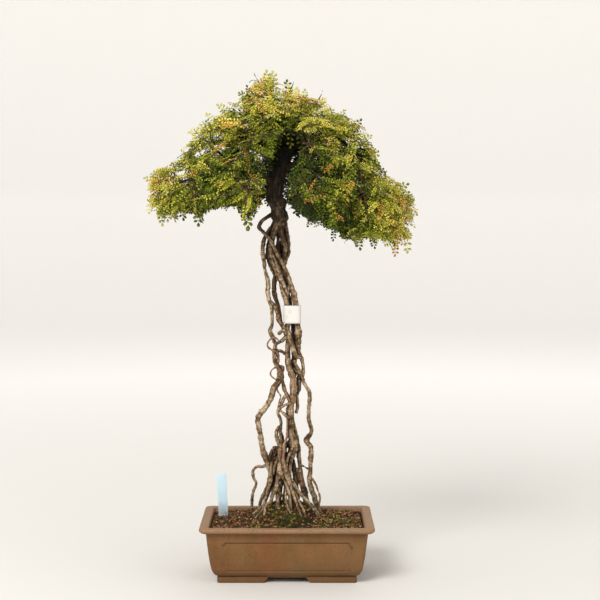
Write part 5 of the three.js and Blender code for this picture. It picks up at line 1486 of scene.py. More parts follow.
def spray_tree():
    """Twigs become tubes, leaf points become compound leaves."""
    tree, entry = new_tree("grow_spray", [
        ("Leaf Kinds", "Collection"), ("Leaf Scale", "Float"), ("Twig Sides", "Int"),
        ("Kind Count", "Int"), ("Seed", "Int"), ("Twig Material", "Material"),
        ("Leaf Material", "Material"),
    ])
    lines = add_node(tree, "GeometryNodeMeshToCurve", {"Mesh": entry["Geometry"]})
    section = add_node(
        tree, "GeometryNodeCurvePrimitiveCircle", {"Resolution": entry["Twig Sides"], "Radius": 1.0}
    )
    tubes = add_node(tree, "GeometryNodeCurveToMesh", {
        "Curve": lines.outputs[0],
        "Profile Curve": section.outputs[0],
        "Scale": attribute(tree, "radius", "FLOAT"),
        "Fill Caps": True,
    })
    smooth = add_node(tree, "GeometryNodeSetShadeSmooth", {"Geometry": tubes.outputs[0]})
    brown = with_material(tree, smooth.outputs[0], entry["Twig Material"])
    last_kind = calculate(tree, "SUBTRACT", entry["Kind Count"], 1.0)
    pick = add_node(
        tree, "FunctionNodeRandomValue", {4: 0, 5: last_kind, "Seed": entry["Seed"]}, data_type="INT"
    )
    turned = add_node(tree, "FunctionNodeEulerToRotation", {0: attribute(tree, "turn", "FLOAT_VECTOR")})
    size = calculate(tree, "MULTIPLY", attribute(tree, "size", "FLOAT"), entry["Leaf Scale"])
    leaves = add_node(tree, "GeometryNodeInstanceOnPoints", {
        "Points": entry["Geometry"],
        "Selection": attribute(tree, "is_leaf", "BOOLEAN"),
        "Instance": picked_kinds(tree, entry["Leaf Kinds"]),
        "Pick Instance": True,
        "Instance Index": pick.outputs[2],
        "Rotation": turned.outputs[0],
        "Scale": size,
    })
    real = add_node(tree, "GeometryNodeRealizeInstances", {"Geometry": leaves.outputs[0]})
    green = with_material(tree, real.outputs[0], entry["Leaf Material"])
    joined = tree.nodes.new("GeometryNodeJoinGeometry")
    tree.links.new(brown, joined.inputs[0])
    tree.links.new(green, joined.inputs[0])
    add_node(tree, "NodeGroupOutput", {0: joined.outputs[0]})
    return tree


def make_foliage(settings):
    """One piece for each spray of the crown."""
    draw = random.Random(settings.seed)
    twigs = twig_material()
    leaves = leaf_material(settings)
    length = settings.leaf_length / MM
    kinds = make_kinds("leaf_kinds", [leaf_shell(pairs, length, draw) for pairs in (4, 5, 6, 6, 7, 8)])
    tree = spray_tree()
    for number, own in enumerate(SPRAYS):
        spray = Spray(own, settings, random.Random(settings.seed + 31 * number))
        spray.grow_all()
        for foot, tip in fronds_of(own):
            spray.add_frond(foot, tip)
        piece = spray.to_object(f"leafy_{own['name']}")
        run_tree(piece, tree, {
            "Leaf Kinds": kinds,
            "Kind Count": len(kinds.objects),
            "Leaf Scale": 1.0,
            "Twig Sides": 4,
            "Seed": settings.seed + number,
            "Twig Material": twigs,
            "Leaf Material": leaves,
        })
        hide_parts(f"spray_{own['name']}")
        ride_root(piece)
    remove_kinds(kinds)


# Soil

# Distance from the soil to the pot's wall, number of rings of its top, and how far its edge lies lower
SOIL_GAP = 0.3
SOIL_RINGS = 34
SOIL_EDGE_DROP = 1.5
# Where granules and moss may lie: least height, and reach to the sides and to the front and back
DRESSED_FROM = 60
DRESSED_REACH = (92, 58)
LEAST_BARE = 0.25
# Where moss grows: middle x and y, width and depth of the place, and how much of it
MOSS_PLACES = [(-2, 2, 46, 34, 1.0), (4, -36, 46, 22, 1.0), (62, -16, 30, 26, 0.85)]
MOSS_PATCH_SIZE = 13
# A tuft of moss, in its own unit: number of tips, turn between them, half width of a tip and its corners
TUFT_TIPS = 7
TUFT_TURN = 0.9
TIP_HALF_WIDTH = 0.34
TIP_CORNERS = (0.3, 2.4, 4.5)
TIP_FOOT = 0.35
FULL_TURN = 6.283
# Most points that are tried for granules or moss, on a square metre
SCATTER_DENSITY = 420000.0


def soil_height(x, y):
    dx = (x - MOUND_CENTRE[0]) / MOUND_REACH[0]
    dy = (y - MOUND_CENTRE[1]) / MOUND_REACH[1]
    mound = MOUND_HEIGHT * math.exp(-dx * dx - dy * dy)
    lumps = math.sin(x * 0.21 + 1.3) * math.cos(y * 0.27) + 0.6 * math.sin(x * 0.43 - y * 0.37)
    return SOIL_LEVEL + mound + SOIL_LUMP * lumps


def rounded_ring(half_width, half_depth, radius, stations_x, stations_y, corner_steps=7):
    """Points anticlockwise round a rectangle with round corners, with given places along each side."""
    points = []
    sides = [
        (Vector((1, 0)), Vector((0, 1)), half_width - radius, half_depth - radius, stations_y),
        (Vector((0, 1)), Vector((-1, 0)), half_depth - radius, half_width - radius, stations_x),
        (Vector((-1, 0)), Vector((0, -1)), half_width - radius, half_depth - radius, stations_y),
        (Vector((0, -1)), Vector((1, 0)), half_depth - radius, half_width - radius, stations_x),
    ]
    for outward, ahead, out, run, stations in sides:
        for share in stations:
            points.append(outward * (out + radius) + ahead * (share * run))
        corner = outward * out + ahead * run
        for step in range(1, corner_steps):
            turn = math.pi / 2 * step / corner_steps
            points.append(corner + radius * (outward * math.cos(turn) + ahead * math.sin(turn)))
    return points


def pot_ring(inset, z, stations_x, stations_y):
    radius = max(POT_CORNER - 0.35 * inset, 2)
    ring = rounded_ring(POT_WIDTH / 2 - inset, POT_DEPTH / 2 - inset, radius, stations_x, stations_y)
    return [Vector((p.x, p.y, z)) for p in ring]


def even_stations(step, length):
    count = round(2 * length / step)
    return [-1 + 2 * i / count for i in range(count + 1)]


def soil_shell():
    """The soil's solid: its floor, its sides inside the pot and a lumpy top that ends in a pole."""
    stations_x = even_stations(3, 90)
    stations_y = even_stations(3, 56)
    rings = []
    for z, inset in reversed(CAVITY[1:]):
        rings.append(pot_ring(inset + SOIL_GAP, z, stations_x, stations_y))
    edge = rings[-1]
    for i in range(SOIL_RINGS):
        share = 1 - i / SOIL_RINGS
        drop = SOIL_EDGE_DROP if i == 0 else 0
        ring = []
        for point in edge:
            x, y = point.x * share, point.y * share
            ring.append(Vector((x, y, soil_height(x, y) - drop)))
        rings.append(ring)
    around = len(edge)
    vertices = [place(point) for ring in rings for point in ring]
    faces = ring_faces(len(rings), around)
    vertices.append(place((0, 0, soil_height(0, 0))))
    last = (len(rings) - 1) * around
    for i in range(around):
        faces.append((last + i, last + (i + 1) % around, len(vertices) - 1))
    vertices.append(place((0, 0, CAVITY_FLOOR)))
    for i in range(around):
        faces.append(((i + 1) % around, i, len(vertices) - 1))
    return vertices, faces


def moss_share(x, y):
    """How much moss grows at a place: most round the roots' foot and in the front's middle."""
    near = 0
    for middle_x, middle_y, width, depth, strength in MOSS_PLACES:
        here = math.exp(-((x - middle_x) / width) ** 2 - ((y - middle_y) / depth) ** 2)
        near = max(near, strength * here)
    patch = noise.noise(Vector((x / MOSS_PATCH_SIZE, y / MOSS_PATCH_SIZE, 4.0)))
    return clamp(1.1 * near + 0.75 * patch - 0.28)


def pebble_shell(draw):
    """A rough crumb with 20 faces, about 1 mm in radius."""
    mesh = bmesh.new()
    bmesh.ops.create_icosphere(mesh, subdivisions=1, radius=1.0)
    for vertex in mesh.verts:
        vertex.co *= draw.uniform(0.78, 1.18)
        vertex.co.z *= 0.8
    shell = ([v.co.copy() for v in mesh.verts], [tuple(v.index for v in face.verts) for face in mesh.faces])
    mesh.free()
    return shell


def tuft_shell(draw):
    """A tuft of moss: thin closed tips on one foot, the first one upright and the others leaning out."""
    wide = TIP_HALF_WIDTH
    around_foot = [Vector((math.cos(a) * wide, math.sin(a) * wide, -0.2)) for a in TIP_CORNERS]
    shells = []
    for i in range(TUFT_TIPS):
        turn = TUFT_TURN * i
        lean = 0 if i == 0 else draw.uniform(0.45, 0.9)
        tip = Vector((math.cos(turn) * lean, math.sin(turn) * lean, draw.uniform(0.8, 1.15)))
        foot = Vector((math.cos(turn), math.sin(turn), 0)) * (0 if i == 0 else TIP_FOOT)
        vertices = [*(foot + corner for corner in around_foot), tip]
        shells.append((vertices, [(0, 2, 1), (0, 1, 3), (1, 2, 3), (2, 0, 3)]))
    return join_shells(shells)


def scatter_on(tree, entry, surface, density, distance, kinds, low, high, seed_shift):
    """Template pieces scattered on a surface with their own turn and size."""
    seed = calculate(tree, "ADD", entry["Seed"], seed_shift)
    points = add_node(tree, "GeometryNodeDistributePointsOnFaces", {
        "Mesh": surface, "Distance Min": distance, "Density Max": SCATTER_DENSITY,
        "Density Factor": attribute(tree, density, "FLOAT"), "Seed": seed,
    }, distribute_method="POISSON")
    spin = random_between(tree, 0.0, FULL_TURN, calculate(tree, "ADD", seed, 3.0))
    tone = random_between(tree, 0.0, 1.0, calculate(tree, "ADD", seed, 5.0))
    axis = add_node(tree, "FunctionNodeAxisAngleToRotation", {"Axis": (0.0, 0.0, 1.0), "Angle": spin})
    turned = add_node(tree, "FunctionNodeRotateRotation", {
        "Rotation": points.outputs["Rotation"], "Rotate By": axis.outputs[0],
    }, rotation_space="LOCAL")
    toned = add_node(tree, "GeometryNodeStoreNamedAttribute", {
        "Geometry": points.outputs["Points"], "Name": "tone", "Value": tone,
    }, data_type="FLOAT", domain="POINT")
    return add_node(tree, "GeometryNodeInstanceOnPoints", {
        "Points": toned.outputs[0], "Instance": picked_kinds(tree, kinds), "Pick Instance": True,
        "Rotation": turned.outputs[0], "Scale": random_between(tree, low, high, seed),
    }).outputs[0]


def soil_tree():
    """Granules and moss scattered over the soil's top."""
    tree, entry = new_tree("dress_soil", [
        ("Granules", "Collection"), ("Tufts", "Collection"), ("Granule Spacing", "Float"),
        ("Moss Spacing", "Float"), ("Seed", "Int"), ("Earth Material", "Material"),
        ("Granule Material", "Material"), ("Moss Material", "Material"),
    ])
    joined = tree.nodes.new("GeometryNodeJoinGeometry")
    earth = with_material(tree, entry["Geometry"], entry["Earth Material"])
    tree.links.new(earth, joined.inputs[0])
    for density, spacing, kinds, low, high, shift, material in (
        ("bare", "Granule Spacing", "Granules", 0.75, 1.75, 1.0, "Granule Material"),
        ("moss", "Moss Spacing", "Tufts", 0.9, 1.9, 11.0, "Moss Material"),
    ):
        scattered = scatter_on(
            tree, entry, entry["Geometry"], density, entry[spacing], entry[kinds], low, high, shift
        )
        real = add_node(tree, "GeometryNodeRealizeInstances", {"Geometry": scattered})
        tree.links.new(with_material(tree, real.outputs[0], entry[material]), joined.inputs[0])
    last = add_node(tree, "GeometryNodeRealizeInstances", {"Geometry": joined.outputs[0]})
    add_node(tree, "NodeGroupOutput", {0: last.outputs[0]})
    return tree


def make_soil(settings):
    draw = random.Random(settings.seed)
    vertices, faces = soil_shell()
    soil = new_object("soil_and_moss", vertices, faces)
    bare = []
    moss = []
    for vertex in soil.data.vertices:
        at = (vertex.co - POT_CENTRE) / MM
        reach_x, reach_y = DRESSED_REACH
        is_top = at.z > DRESSED_FROM and abs(at.x) < reach_x and abs(at.y) < reach_y
        share = moss_share(at.x, at.y) * settings.moss
        moss.append(share if is_top else 0.0)
        bare.append(max(LEAST_BARE, 1 - share) if is_top else 0.0)
    store(soil.data, "bare", "FLOAT", bare)
    store(soil.data, "moss", "FLOAT", moss)
    granules = make_kinds("granule_kinds", [pebble_shell(draw) for _ in range(4)])
    tufts = make_kinds("tuft_kinds", [tuft_shell(draw) for _ in range(3)])
    run_tree(soil, soil_tree(), {
        "Granules": granules,
        "Tufts": tufts,
        "Granule Spacing": settings.granule_spacing,
        "Moss Spacing": settings.moss_spacing,
        "Seed": settings.seed,
        "Earth Material": earth_material(),
        "Granule Material": granule_material(),
        "Moss Material": moss_material(),
    })
    remove_kinds(granules)
    remove_kinds(tufts)
    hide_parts("soil")
    ride_root(soil)


# Pot

PANEL_DEPTH = 0.5
PANEL_SLOPE = 0.9
GROOVE_DEPTH = 0.9
GROOVE_HALF = 0.75
BODY_BOTTOM = 9.5
BODY_TOP = 63.5
# The rim's outline as (inset from its edge, height from its top)
RIM_PROFILE = [
    (3.4, -6.5), (2.2, -5.9), (0.9, -4.8), (0.2, -3.8), (0, -3), (0, -1.6), (0.25, -0.8), (0.9, -0.2),
    (1.8, 0), (8, 0), (10.2, -0.1), (11.2, -0.6), (11.6, -1.6),
]
# How far inside the rim's edge a wall reaches, and how far past a panel its groove does
WALL_REACH = 27
PANEL_MARGIN = 6
# Painted shade in the grooves, on a band at the panel's top and below it, and under the rim
BAND_HEIGHT = 8
LOWER_GROOVE_SHADE = 0.3
UNDER_RIM_SHADE = 0.8
# How quickly the wall's unevenness changes along each axis, in 1/m
LUMPS_OF_POT = np.array((28, 28, 34))
DRILL_SIDES = 32


def stations_with_edges(length, edges, coarse=4, fine=0.6, near=4.4):
    """Places from -1 to 1 along a side of the pot, closer together near the panel's ends."""
    places = []
    at = -length
    while at < length - 0.01:
        places.append(at / length)
        is_near = any(abs(abs(at) - edge) < near for edge in edges)
        at += fine if is_near else coarse
    return [*places, 1.0]


def panel_distance(across, z, half):
    """How far inside the panel's canted outline a place on a wall is, in millimetres."""
    cant_x, cant_z = PANEL_CANT
    inside = min(half - abs(across), z - PANEL_LOW, PANEL_HIGH - z)
    middle = (PANEL_LOW + PANEL_HIGH) / 2
    from_corner_x = half - abs(across)
    from_corner_z = (PANEL_HIGH - PANEL_LOW) / 2 - abs(z - middle)
    canted = (from_corner_x / cant_x + from_corner_z / cant_z - 1) / math.hypot(1 / cant_x, 1 / cant_z)
    return min(inside, canted)


def groove_at(inside):
    """The groove along a panel's border: 1 in its middle, and near 0 on both sides."""
    return math.exp(-((inside / GROOVE_HALF) ** 2))


def panel_sink(inside):
    """How deep a wall is sunk: the panel, and a groove along its border."""
    return PANEL_DEPTH * clamp(inside / PANEL_SLOPE + 0.5) + GROOVE_DEPTH * groove_at(inside)


def sink_walls(ring, z):
    """Sinks the panels into a ring of the wall, and gives each point's painted shade in the groove, full on
    a band at the panel's top and weaker below it.
    """
    groove_shades = []
    for point in ring:
        long_half, short_half = PANEL_HALF["long"], PANEL_HALF["short"]
        groove = 0.0
        if abs(point.y) > POT_DEPTH / 2 - WALL_REACH and abs(point.x) < long_half + PANEL_MARGIN:
            inside = panel_distance(point.x, z, long_half)
            point.y -= math.copysign(panel_sink(inside), point.y)
            groove = groove_at(inside)
        elif abs(point.x) > POT_WIDTH / 2 - WALL_REACH and abs(point.y) < short_half + PANEL_MARGIN:
            inside = panel_distance(point.y, z, short_half)
            point.x -= math.copysign(panel_sink(inside), point.x)
            groove = groove_at(inside)
        groove_shade = 1.0 if z > PANEL_HIGH - BAND_HEIGHT else LOWER_GROOVE_SHADE
        groove_shades.append(groove_shade * groove)
    return groove_shades


def wall_heights():
    """Heights of the wall's rings, closer together at the panel's top and bottom."""
    heights = []
    z = BODY_BOTTOM + 0.5
    while z < BODY_TOP - 0.3:
        heights.append(z)
        is_near = -3 < z - PANEL_LOW < 8.5 or -8.5 < z - PANEL_HIGH < 3
        z += 0.5 if is_near else 2
    return heights


def pot_shell():
    """The pot's body as rings from under its floor, up the wall, over the rim and down into the hollow."""
    stations_x = stations_with_edges(98, [PANEL_HALF["long"]])
    stations_y = stations_with_edges(64, [PANEL_HALF["short"]])
    edge = RIM_OVERHANG + WALL_LEAN[0][1]
    profile = [(BAND_INSET + 0.6, FOOT_HEIGHT), (BAND_INSET, FOOT_HEIGHT + 0.6)]
    profile += [(BAND_INSET, BODY_BOTTOM - 0.3), (edge + 2, BODY_BOTTOM), (edge + 0.5, BODY_BOTTOM)]
    walls = wall_heights()
    profile += [(RIM_OVERHANG + along(WALL_LEAN, z), z) for z in walls]
    profile += [(RIM_OVERHANG, BODY_TOP - 0.2), (RIM_OVERHANG - 0.3, BODY_TOP + 0.2)]
    profile += [(inset, POT_HEIGHT + up) for inset, up in RIM_PROFILE]
    profile += [(inset, z) for z, inset in CAVITY[1:]]
    rings = []
    sunk = []
    for inset, z in profile:
        ring = pot_ring(inset, z, stations_x, stations_y)
        is_under_rim = BODY_TOP - 1.5 < z < BODY_TOP + 1.5
        # Points in the grooves and under the rim get their painted shade.
        sunk += sink_walls(ring, z) if z in walls else [UNDER_RIM_SHADE if is_under_rim else 0.0] * len(ring)
        rings.append([place(point) for point in ring])
    return *closed_rings(rings), sunk


def foot_shell(side_x, side_y):
    """An L-shaped corner foot with slanted ends, sunk into the pot's base."""
    out_x, out_y = FOOT_OUT
    in_x, in_y = out_x - FOOT_THICKNESS, out_y - FOOT_THICKNESS
    rings = []
    for z, share in ((0, 0), (FOOT_HEIGHT + 1, (FOOT_HEIGHT + 1) / FOOT_HEIGHT)):
        gap_x = FOOT_GAP_LOW[0] + (FOOT_GAP_HIGH[0] - FOOT_GAP_LOW[0]) * share
        gap_y = FOOT_GAP_LOW[1] + (FOOT_GAP_HIGH[1] - FOOT_GAP_LOW[1]) * share
        outline = [(gap_x, in_y), (in_x, in_y), (in_x, gap_y), (out_x, gap_y), (out_x, out_y - 3)]
        outline += [(out_x - 0.9, out_y - 0.9), (out_x - 3, out_y), (gap_x, out_y)]
        rings.append([place((side_x * x, side_y * y, z)) for x, y in outline])
    vertices, faces = closed_rings(rings)
    if side_x * side_y < 0:
        faces = [tuple(reversed(face)) for face in faces]
    return vertices, faces


def make_pot(settings):
    vertices, faces, sunk = pot_shell()
    pot = new_object("stoneware_pot", vertices, faces)
    store(pot.data, "sunk", "FLOAT", sunk)
    drills = [new_object("drill", *drill_shell(x)) for x in DRAIN_PLACES]
    for drill in drills:
        cut = pot.modifiers.new("drain", "BOOLEAN")
        cut.operation = "DIFFERENCE"
        cut.solver = "EXACT"
        cut.object = drill
    apply_modifiers(pot)
    for drill in drills:
        remove_object(drill)
    feet = new_object("feet", *join_shells([foot_shell(x, y) for x in (-1, 1) for y in (-1, 1)]))
    bevel(feet, 0.6)
    join_into(pot, feet)
    places, normals = read_points(pot.data)
    # The wall's height in metres, from where it starts to wander to where it wanders fully
    weight = np.clip((places[:, 2] - 0.002) / 0.006, 0, 1)
    lumps = np.array([noise.noise(Vector(at)) for at in (places * LUMPS_OF_POT + 2.0).tolist()])
    wander = settings.unevenness * weight * (lumps * 0.3 - 0.1)
    places = places + normals * wander[:, None]
    pot.data.vertices.foreach_set("co", np.asarray(places, np.float32).ravel())
    pot.data.update()
    pot.data.materials.append(clay_material(settings))
    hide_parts("pot")
    ride_root(pot)


def drill_shell(x):
    """A round pin that goes through the pot's floor."""
    turns = [2 * math.pi * i / DRILL_SIDES for i in range(DRILL_SIDES)]
    rings = []
    for z in (FOOT_HEIGHT - 4, CAVITY_FLOOR + 4):
        rings.append([place((x + DRAIN_RADIUS * math.cos(a), DRAIN_RADIUS * math.sin(a), z)) for a in turns])
    return closed_rings(rings)


# Label, tag and drain mesh

def make_labels(settings):
    half = LABEL["half_width"]
    top = LABEL["top"]
    bottom = LABEL["bottom"]
    outline = [(0, bottom), (half, bottom + LABEL["point"])]
    corner = LABEL["corner"]
    corner_steps = 4
    for i in range(corner_steps + 1):
        turn = math.pi / 2 * i / corner_steps
        outline.append((half - corner + corner * math.cos(turn), top - corner + corner * math.sin(turn)))
    outline += [(-x, z) for x, z in reversed(outline[1:])]
    turn = Matrix.Rotation(math.radians(LABEL["turn"]), 4, "Z")
    turn @= Matrix.Rotation(math.radians(-LABEL["lean"]), 4, "Y")
    rings = []
    for y in (LABEL["half_thickness"], -LABEL["half_thickness"]):
        ring = []
        for x, z in outline:
            point = turn @ Vector((x, y, z - bottom))
            ring.append(place(point + Vector((LABEL["x"], LABEL["y"], bottom))))
        rings.append(ring)
    label = new_object("blue_label", *closed_rings(rings))
    bevel(label, 0.2)
    label.data.materials.append(label_material(settings))
    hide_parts("plant_label")
    ride_root(label)
    make_tag(settings)


def make_tag(settings):
    """A paper band round two roots, its end lapped over its start at the back."""
    half_steps = 16
    path = []
    for side in (1, -1):
        for i in range(half_steps + 1):
            start = -math.pi / 2 if side > 0 else math.pi / 2
            path.append((side * TAG["straight"], start + math.pi * i / half_steps))
    # The band begins and ends at the back, in the middle of its left half
    half = half_steps // 2 + 1
    path = path[-half:] + path[:-half]
    path += path[:TAG["lapped"]]
    rings = []
    levels = [0, 0.12, 0.4, 0.6, 0.88, 1]
    for number, (offset, turn) in enumerate(path):
        lapped = (number - (len(path) - 1 - TAG["lapped"])) / TAG["lapped"]
        lap = max(0.0, lapped) * (TAG["thickness"] + TAG["gap"])
        ring = []
        outward = Vector((math.cos(turn), math.sin(turn), 0))
        for grow, shares in ((TAG["thickness"], levels), (0.02, levels[::-1])):
            for share in shares:
                flare = 0.22 * abs(2 * share - 1) ** 3
                radius = TAG["radius"] + grow + lap + flare
                z = TAG["low"] + share * (TAG["high"] - TAG["low"])
                ring.append(place(Vector((TAG["x"] + offset, 0, z)) + outward * radius))
        rings.append(ring)
    tag = new_object("paper_tag", *closed_rings(rings))
    tag.data.materials.append(tag_material(settings))
    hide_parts("trunk_tag")
    ride_root(tag)


def dress_drain_mesh():
    plastic = mesh_material()
    for name in ("drain_mesh_left", "drain_mesh_right"):
        node = bpy.data.objects[name]
        node.data.materials.clear()
        node.data.materials.append(plastic)


# Stage

# The floor in metres: the step between its rings, its flat reach, its upward curve and its height
FLOOR_STEP = 0.3
FLOOR_REACH = 4.8
CURVE_RADIUS = 1.6
CURVE_STEPS = 14
BACKDROP_TOP = 3.5
FLOOR_SIDES = 96
# Light of the surroundings, and where the lamps point to
SKY_COLOUR = (1.0, 0.985, 0.95, 1)
LAMP_AIM = Vector((0, 0, 0.38))
# The camera's place in millimetres from the pot's centre, its pitch in degrees and its film's width
CAMERA_PLACE = (16, -1800, 453.7)
CAMERA_PITCH = -3.43
FILM_WIDTH = 36


def floor_shell():
    """A round floor that curves up far away."""
    profile = [(FLOOR_STEP * i, 0.0) for i in range(1, round(FLOOR_REACH / FLOOR_STEP) + 1)]
    for i in range(1, CURVE_STEPS + 1):
        turn = math.pi / 2 * i / CURVE_STEPS
        out = CURVE_RADIUS * math.sin(turn)
        profile.append((FLOOR_REACH + out, CURVE_RADIUS - CURVE_RADIUS * math.cos(turn)))
    profile.append((FLOOR_REACH + CURVE_RADIUS, BACKDROP_TOP))
    vertices = []
    for radius, z in profile:
        for i in range(FLOOR_SIDES):
            turn = 2 * math.pi * i / FLOOR_SIDES
            vertices.append((radius * math.cos(turn), radius * math.sin(turn), z))
    faces = [tuple(reversed(face)) for face in ring_faces(len(profile), FLOOR_SIDES)]
    faces += [(i, (i + 1) % FLOOR_SIDES, len(vertices)) for i in range(FLOOR_SIDES)]
    vertices.append((0, 0, 0))
    return vertices, faces


def floor_material(settings):
    """Pale paper that gives a little light of its own, more of it far away and less of it higher up."""
    look = Look("paper", 0.9, 0.1)
    height = look.height()
    paper = look.mix(settings.floor_colour, (0.95, 0.93, 0.90), look.rise(height, 0.0, 0.5))
    look.set_colour(look.mix(paper, (0.7, 0.68, 0.62), look.noise(3.0, 2), 0.05))
    away = add_node(look.tree, "ShaderNodeVectorMath", {0: look.coordinates}, operation="LENGTH")
    far = look.times(look.rise(away.outputs["Value"], 0.1, 2.2), 0.34)
    high = look.times(look.rise(height, 0.0, 0.6), 0.170)
    look.shader.inputs["Emission Color"].default_value = (1.0, 0.985, 0.97, 1)
    look.tree.links.new(look.minus(far, high), look.shader.inputs["Emission Strength"])
    return look.material


def make_stage(settings):
    """A pale round floor, soft lights and the camera."""
    floor = new_object("floor", *floor_shell())
    floor.data.materials.append(floor_material(settings))
    scene = bpy.context.scene
    scene.world = scene.world or bpy.data.worlds.new("world")
    scene.world.use_nodes = True
    background = scene.world.node_tree.nodes["Background"]
    background.inputs["Color"].default_value = SKY_COLOUR
    background.inputs["Strength"].default_value = settings.sky
    for name, where, size, power in (
        ("key", (-1.1, -2.0, 2.2), 1.3, settings.key_light),
        ("fill", (2.2, -1.6, 1.4), 2.0, settings.fill_light),
        ("back", (0.4, 2.2, 2.2), 1.8, settings.fill_light),
    ):
        light = bpy.data.lights.new(name, "AREA")
        light.size = size
        light.energy = power
        lamp = bpy.data.objects.new(name, light)
        lamp.location = where
        lamp.rotation_euler = (LAMP_AIM - Vector(where)).to_track_quat("-Z", "Y").to_euler()
        scene.collection.objects.link(lamp)
    camera = bpy.data.cameras.new("camera")
    camera.lens = settings.lens
    camera.sensor_width = FILM_WIDTH
    stand = bpy.data.objects.new("camera", camera)
    stand.location = place(CAMERA_PLACE)
    stand.rotation_euler = (math.radians(90 + CAMERA_PITCH), 0, 0)
    scene.collection.objects.link(stand)
    scene.camera = stand
    scene.view_settings.view_transform = "Standard"


# The add-on

class PotSettings(bpy.types.PropertyGroup):
    colour: FloatVectorProperty(
        name="Clay", description="Colour of the stoneware", subtype="COLOR", default=(0.198, 0.074, 0.021)
    )
    unevenness: FloatProperty(
        name="Unevenness", description="How far the handmade wall wanders",
        default=0.0008, subtype="DISTANCE",
    )


class SoilSettings(bpy.types.PropertyGroup):
    granule_spacing: FloatProperty(
        name="Granule Spacing", description="Least distance between granules",
        default=0.0022, subtype="DISTANCE",
    )
    moss_spacing: FloatProperty(
        name="Moss Spacing", description="Least distance between moss tufts",
        default=0.0019, subtype="DISTANCE",
    )
    moss: FloatProperty(
        name="Moss", description="Share of the moss patches that is grown over",
        default=1.0,
    )
    seed: IntProperty(name="Seed", description="Seed of the scatter", default=12)


class WoodSettings(bpy.types.PropertyGroup):
    ring_step: FloatProperty(
        name="Ring Step", description="Distance between a root's rings of points",
        default=0.0015, subtype="DISTANCE",
    )
    knobbliness: FloatProperty(name="Knobbliness", description="How much the roots swell", default=0.27)
    crevice_reach: FloatProperty(
        name="Crevice Reach", description="How near other wood darkens a place",
        default=0.011, subtype="DISTANCE",
    )
    relief: FloatProperty(
        name="Relief", description="Depth of the bark",
        default=0.0008, subtype="DISTANCE",
    )
    root_colour: FloatVectorProperty(
        name="Roots", description="Colour of the bare roots", subtype="COLOR", default=(0.325, 0.222, 0.124)
    )
    trunk_colour: FloatVectorProperty(
        name="Trunk", description="Colour of the upper trunk", subtype="COLOR",
        default=(0.026, 0.016, 0.009),
    )


class FoliageSettings(bpy.types.PropertyGroup):
    twigs: IntProperty(name="Twigs", description="Twigs that fan out in each spray", default=11)
    leaf_spacing: FloatProperty(
        name="Leaf Spacing", description="Distance between leaves on a twig",
        default=0.0046, subtype="DISTANCE",
    )
    gap_level: FloatProperty(name="Gaps", description="Noise below which no leaf grows", default=-0.24)
    leaf_length: FloatProperty(
        name="Leaf Length", description="Length of a whole compound leaf",
        default=0.0255, subtype="DISTANCE",
    )
    seed: IntProperty(name="Seed", description="Seed of the growth", default=7)
    # The colour of leaves in painted shade deep in the crown.
    shaded_leaf_colour: FloatVectorProperty(
        name="Inside", description="Colour of leaves deep in the crown", subtype="COLOR",
        default=(0.022, 0.038, 0.002),
    )
    leaf_colour: FloatVectorProperty(
        name="Leaves", description="Colour of leaves in the light", subtype="COLOR",
        default=(0.55, 0.54, 0.040),
    )
    tip_colour: FloatVectorProperty(
        name="Tips", description="Colour of turning leaves", subtype="COLOR", default=(0.66, 0.33, 0.045)
    )


class LabelSettings(bpy.types.PropertyGroup):
    label_colour: FloatVectorProperty(
        name="Label", description="Colour of the plant label", subtype="COLOR", default=(0.49, 0.67, 0.76)
    )
    tag_colour: FloatVectorProperty(
        name="Tag", description="Colour of the paper tag", subtype="COLOR", default=(0.68, 0.665, 0.63)
    )


class StageSettings(bpy.types.PropertyGroup):
    lens: FloatProperty(name="Lens", description="Focal length in millimetres", default=86.4)
    sky: FloatProperty(name="Sky", description="Strength of the even light", default=0.5)
    key_light: FloatProperty(
        name="Key Light", description="Power of the front light",
        default=78.0, unit="POWER",
    )
    fill_light: FloatProperty(
        name="Fill Light", description="Power of the other lights",
        default=12.0, unit="POWER",
    )
    floor_colour: FloatVectorProperty(
        name="Floor", description="Colour of the floor", subtype="COLOR", default=(0.73, 0.705, 0.665)
    )


class BONSAI_OT_stage(bpy.types.Operator):
    """Set up the floor, the lights and the camera"""
    bl_idname = "bonsai.make_stage"
    bl_label = "Stage"

    def execute(self, context):
        make_stage(context.scene.bonsai_stage)
        return {"FINISHED"}


class BONSAI_OT_pot(bpy.types.Operator):
    """Make the stoneware pot"""
    bl_idname = "bonsai.make_pot"
    bl_label = "Pot"

    def execute(self, context):
        make_pot(context.scene.bonsai_pot)
        dress_drain_mesh()
        return {"FINISHED"}


class BONSAI_OT_soil(bpy.types.Operator):
    """Make the soil with its granules and moss"""
    bl_idname = "bonsai.make_soil"
    bl_label = "Soil"

    def execute(self, context):
        make_soil(context.scene.bonsai_soil)
        return {"FINISHED"}


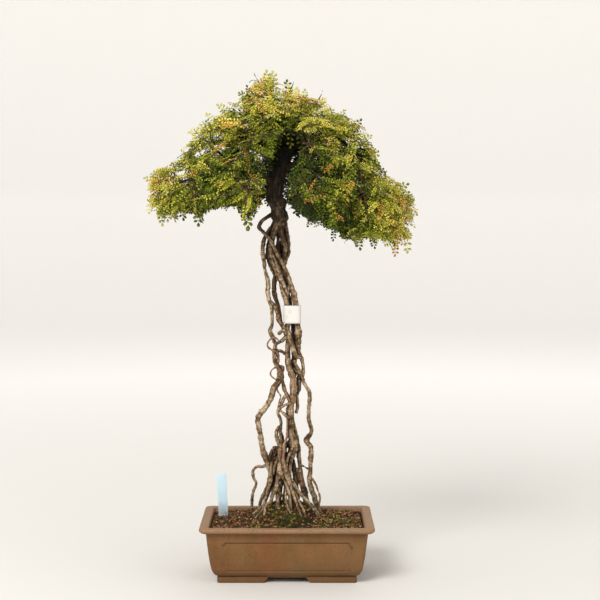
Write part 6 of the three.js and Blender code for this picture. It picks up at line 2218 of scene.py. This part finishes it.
class BONSAI_OT_wood(bpy.types.Operator):
    """Make the trunk, the limbs and the bare roots"""
    bl_idname = "bonsai.make_wood"
    bl_label = "Trunk and Roots"

    def execute(self, context):
        make_wood(context.scene.bonsai_wood)
        return {"FINISHED"}


class BONSAI_OT_foliage(bpy.types.Operator):
    """Grow the leafy sprays"""
    bl_idname = "bonsai.make_foliage"
    bl_label = "Foliage"

    def execute(self, context):
        make_foliage(context.scene.bonsai_foliage)
        return {"FINISHED"}


class BONSAI_OT_labels(bpy.types.Operator):
    """Make the plant label and the paper tag"""
    bl_idname = "bonsai.make_labels"
    bl_label = "Label and Tag"

    def execute(self, context):
        make_labels(context.scene.bonsai_labels)
        return {"FINISHED"}


OPERATORS = [
    BONSAI_OT_stage, BONSAI_OT_pot, BONSAI_OT_soil, BONSAI_OT_wood, BONSAI_OT_foliage, BONSAI_OT_labels,
]


class BONSAI_PT_panel(bpy.types.Panel):
    """Makes each piece of the bonsai"""
    bl_label = "Bonsai"
    bl_idname = "BONSAI_PT_panel"
    bl_space_type = "VIEW_3D"
    bl_region_type = "UI"
    bl_category = "Bonsai"

    def draw(self, context):
        for operator in OPERATORS:
            self.layout.operator(operator.bl_idname)


SETTINGS = {
    "bonsai_pot": PotSettings,
    "bonsai_soil": SoilSettings,
    "bonsai_wood": WoodSettings,
    "bonsai_foliage": FoliageSettings,
    "bonsai_labels": LabelSettings,
    "bonsai_stage": StageSettings,
}


def register():
    for kind in [*SETTINGS.values(), *OPERATORS, BONSAI_PT_panel]:
        bpy.utils.register_class(kind)
    for name, kind in SETTINGS.items():
        setattr(bpy.types.Scene, name, PointerProperty(type=kind))


def unregister():
    for name in SETTINGS:
        delattr(bpy.types.Scene, name)
    for kind in reversed([*SETTINGS.values(), *OPERATORS, BONSAI_PT_panel]):
        bpy.utils.unregister_class(kind)


def main():
    register()
    bpy.ops.bonsai.make_stage()
    bpy.ops.bonsai.make_pot()
    bpy.ops.bonsai.make_soil()
    bpy.ops.bonsai.make_wood()
    bpy.ops.bonsai.make_foliage()
    bpy.ops.bonsai.make_labels()


if __name__ == "__main__":
    main()
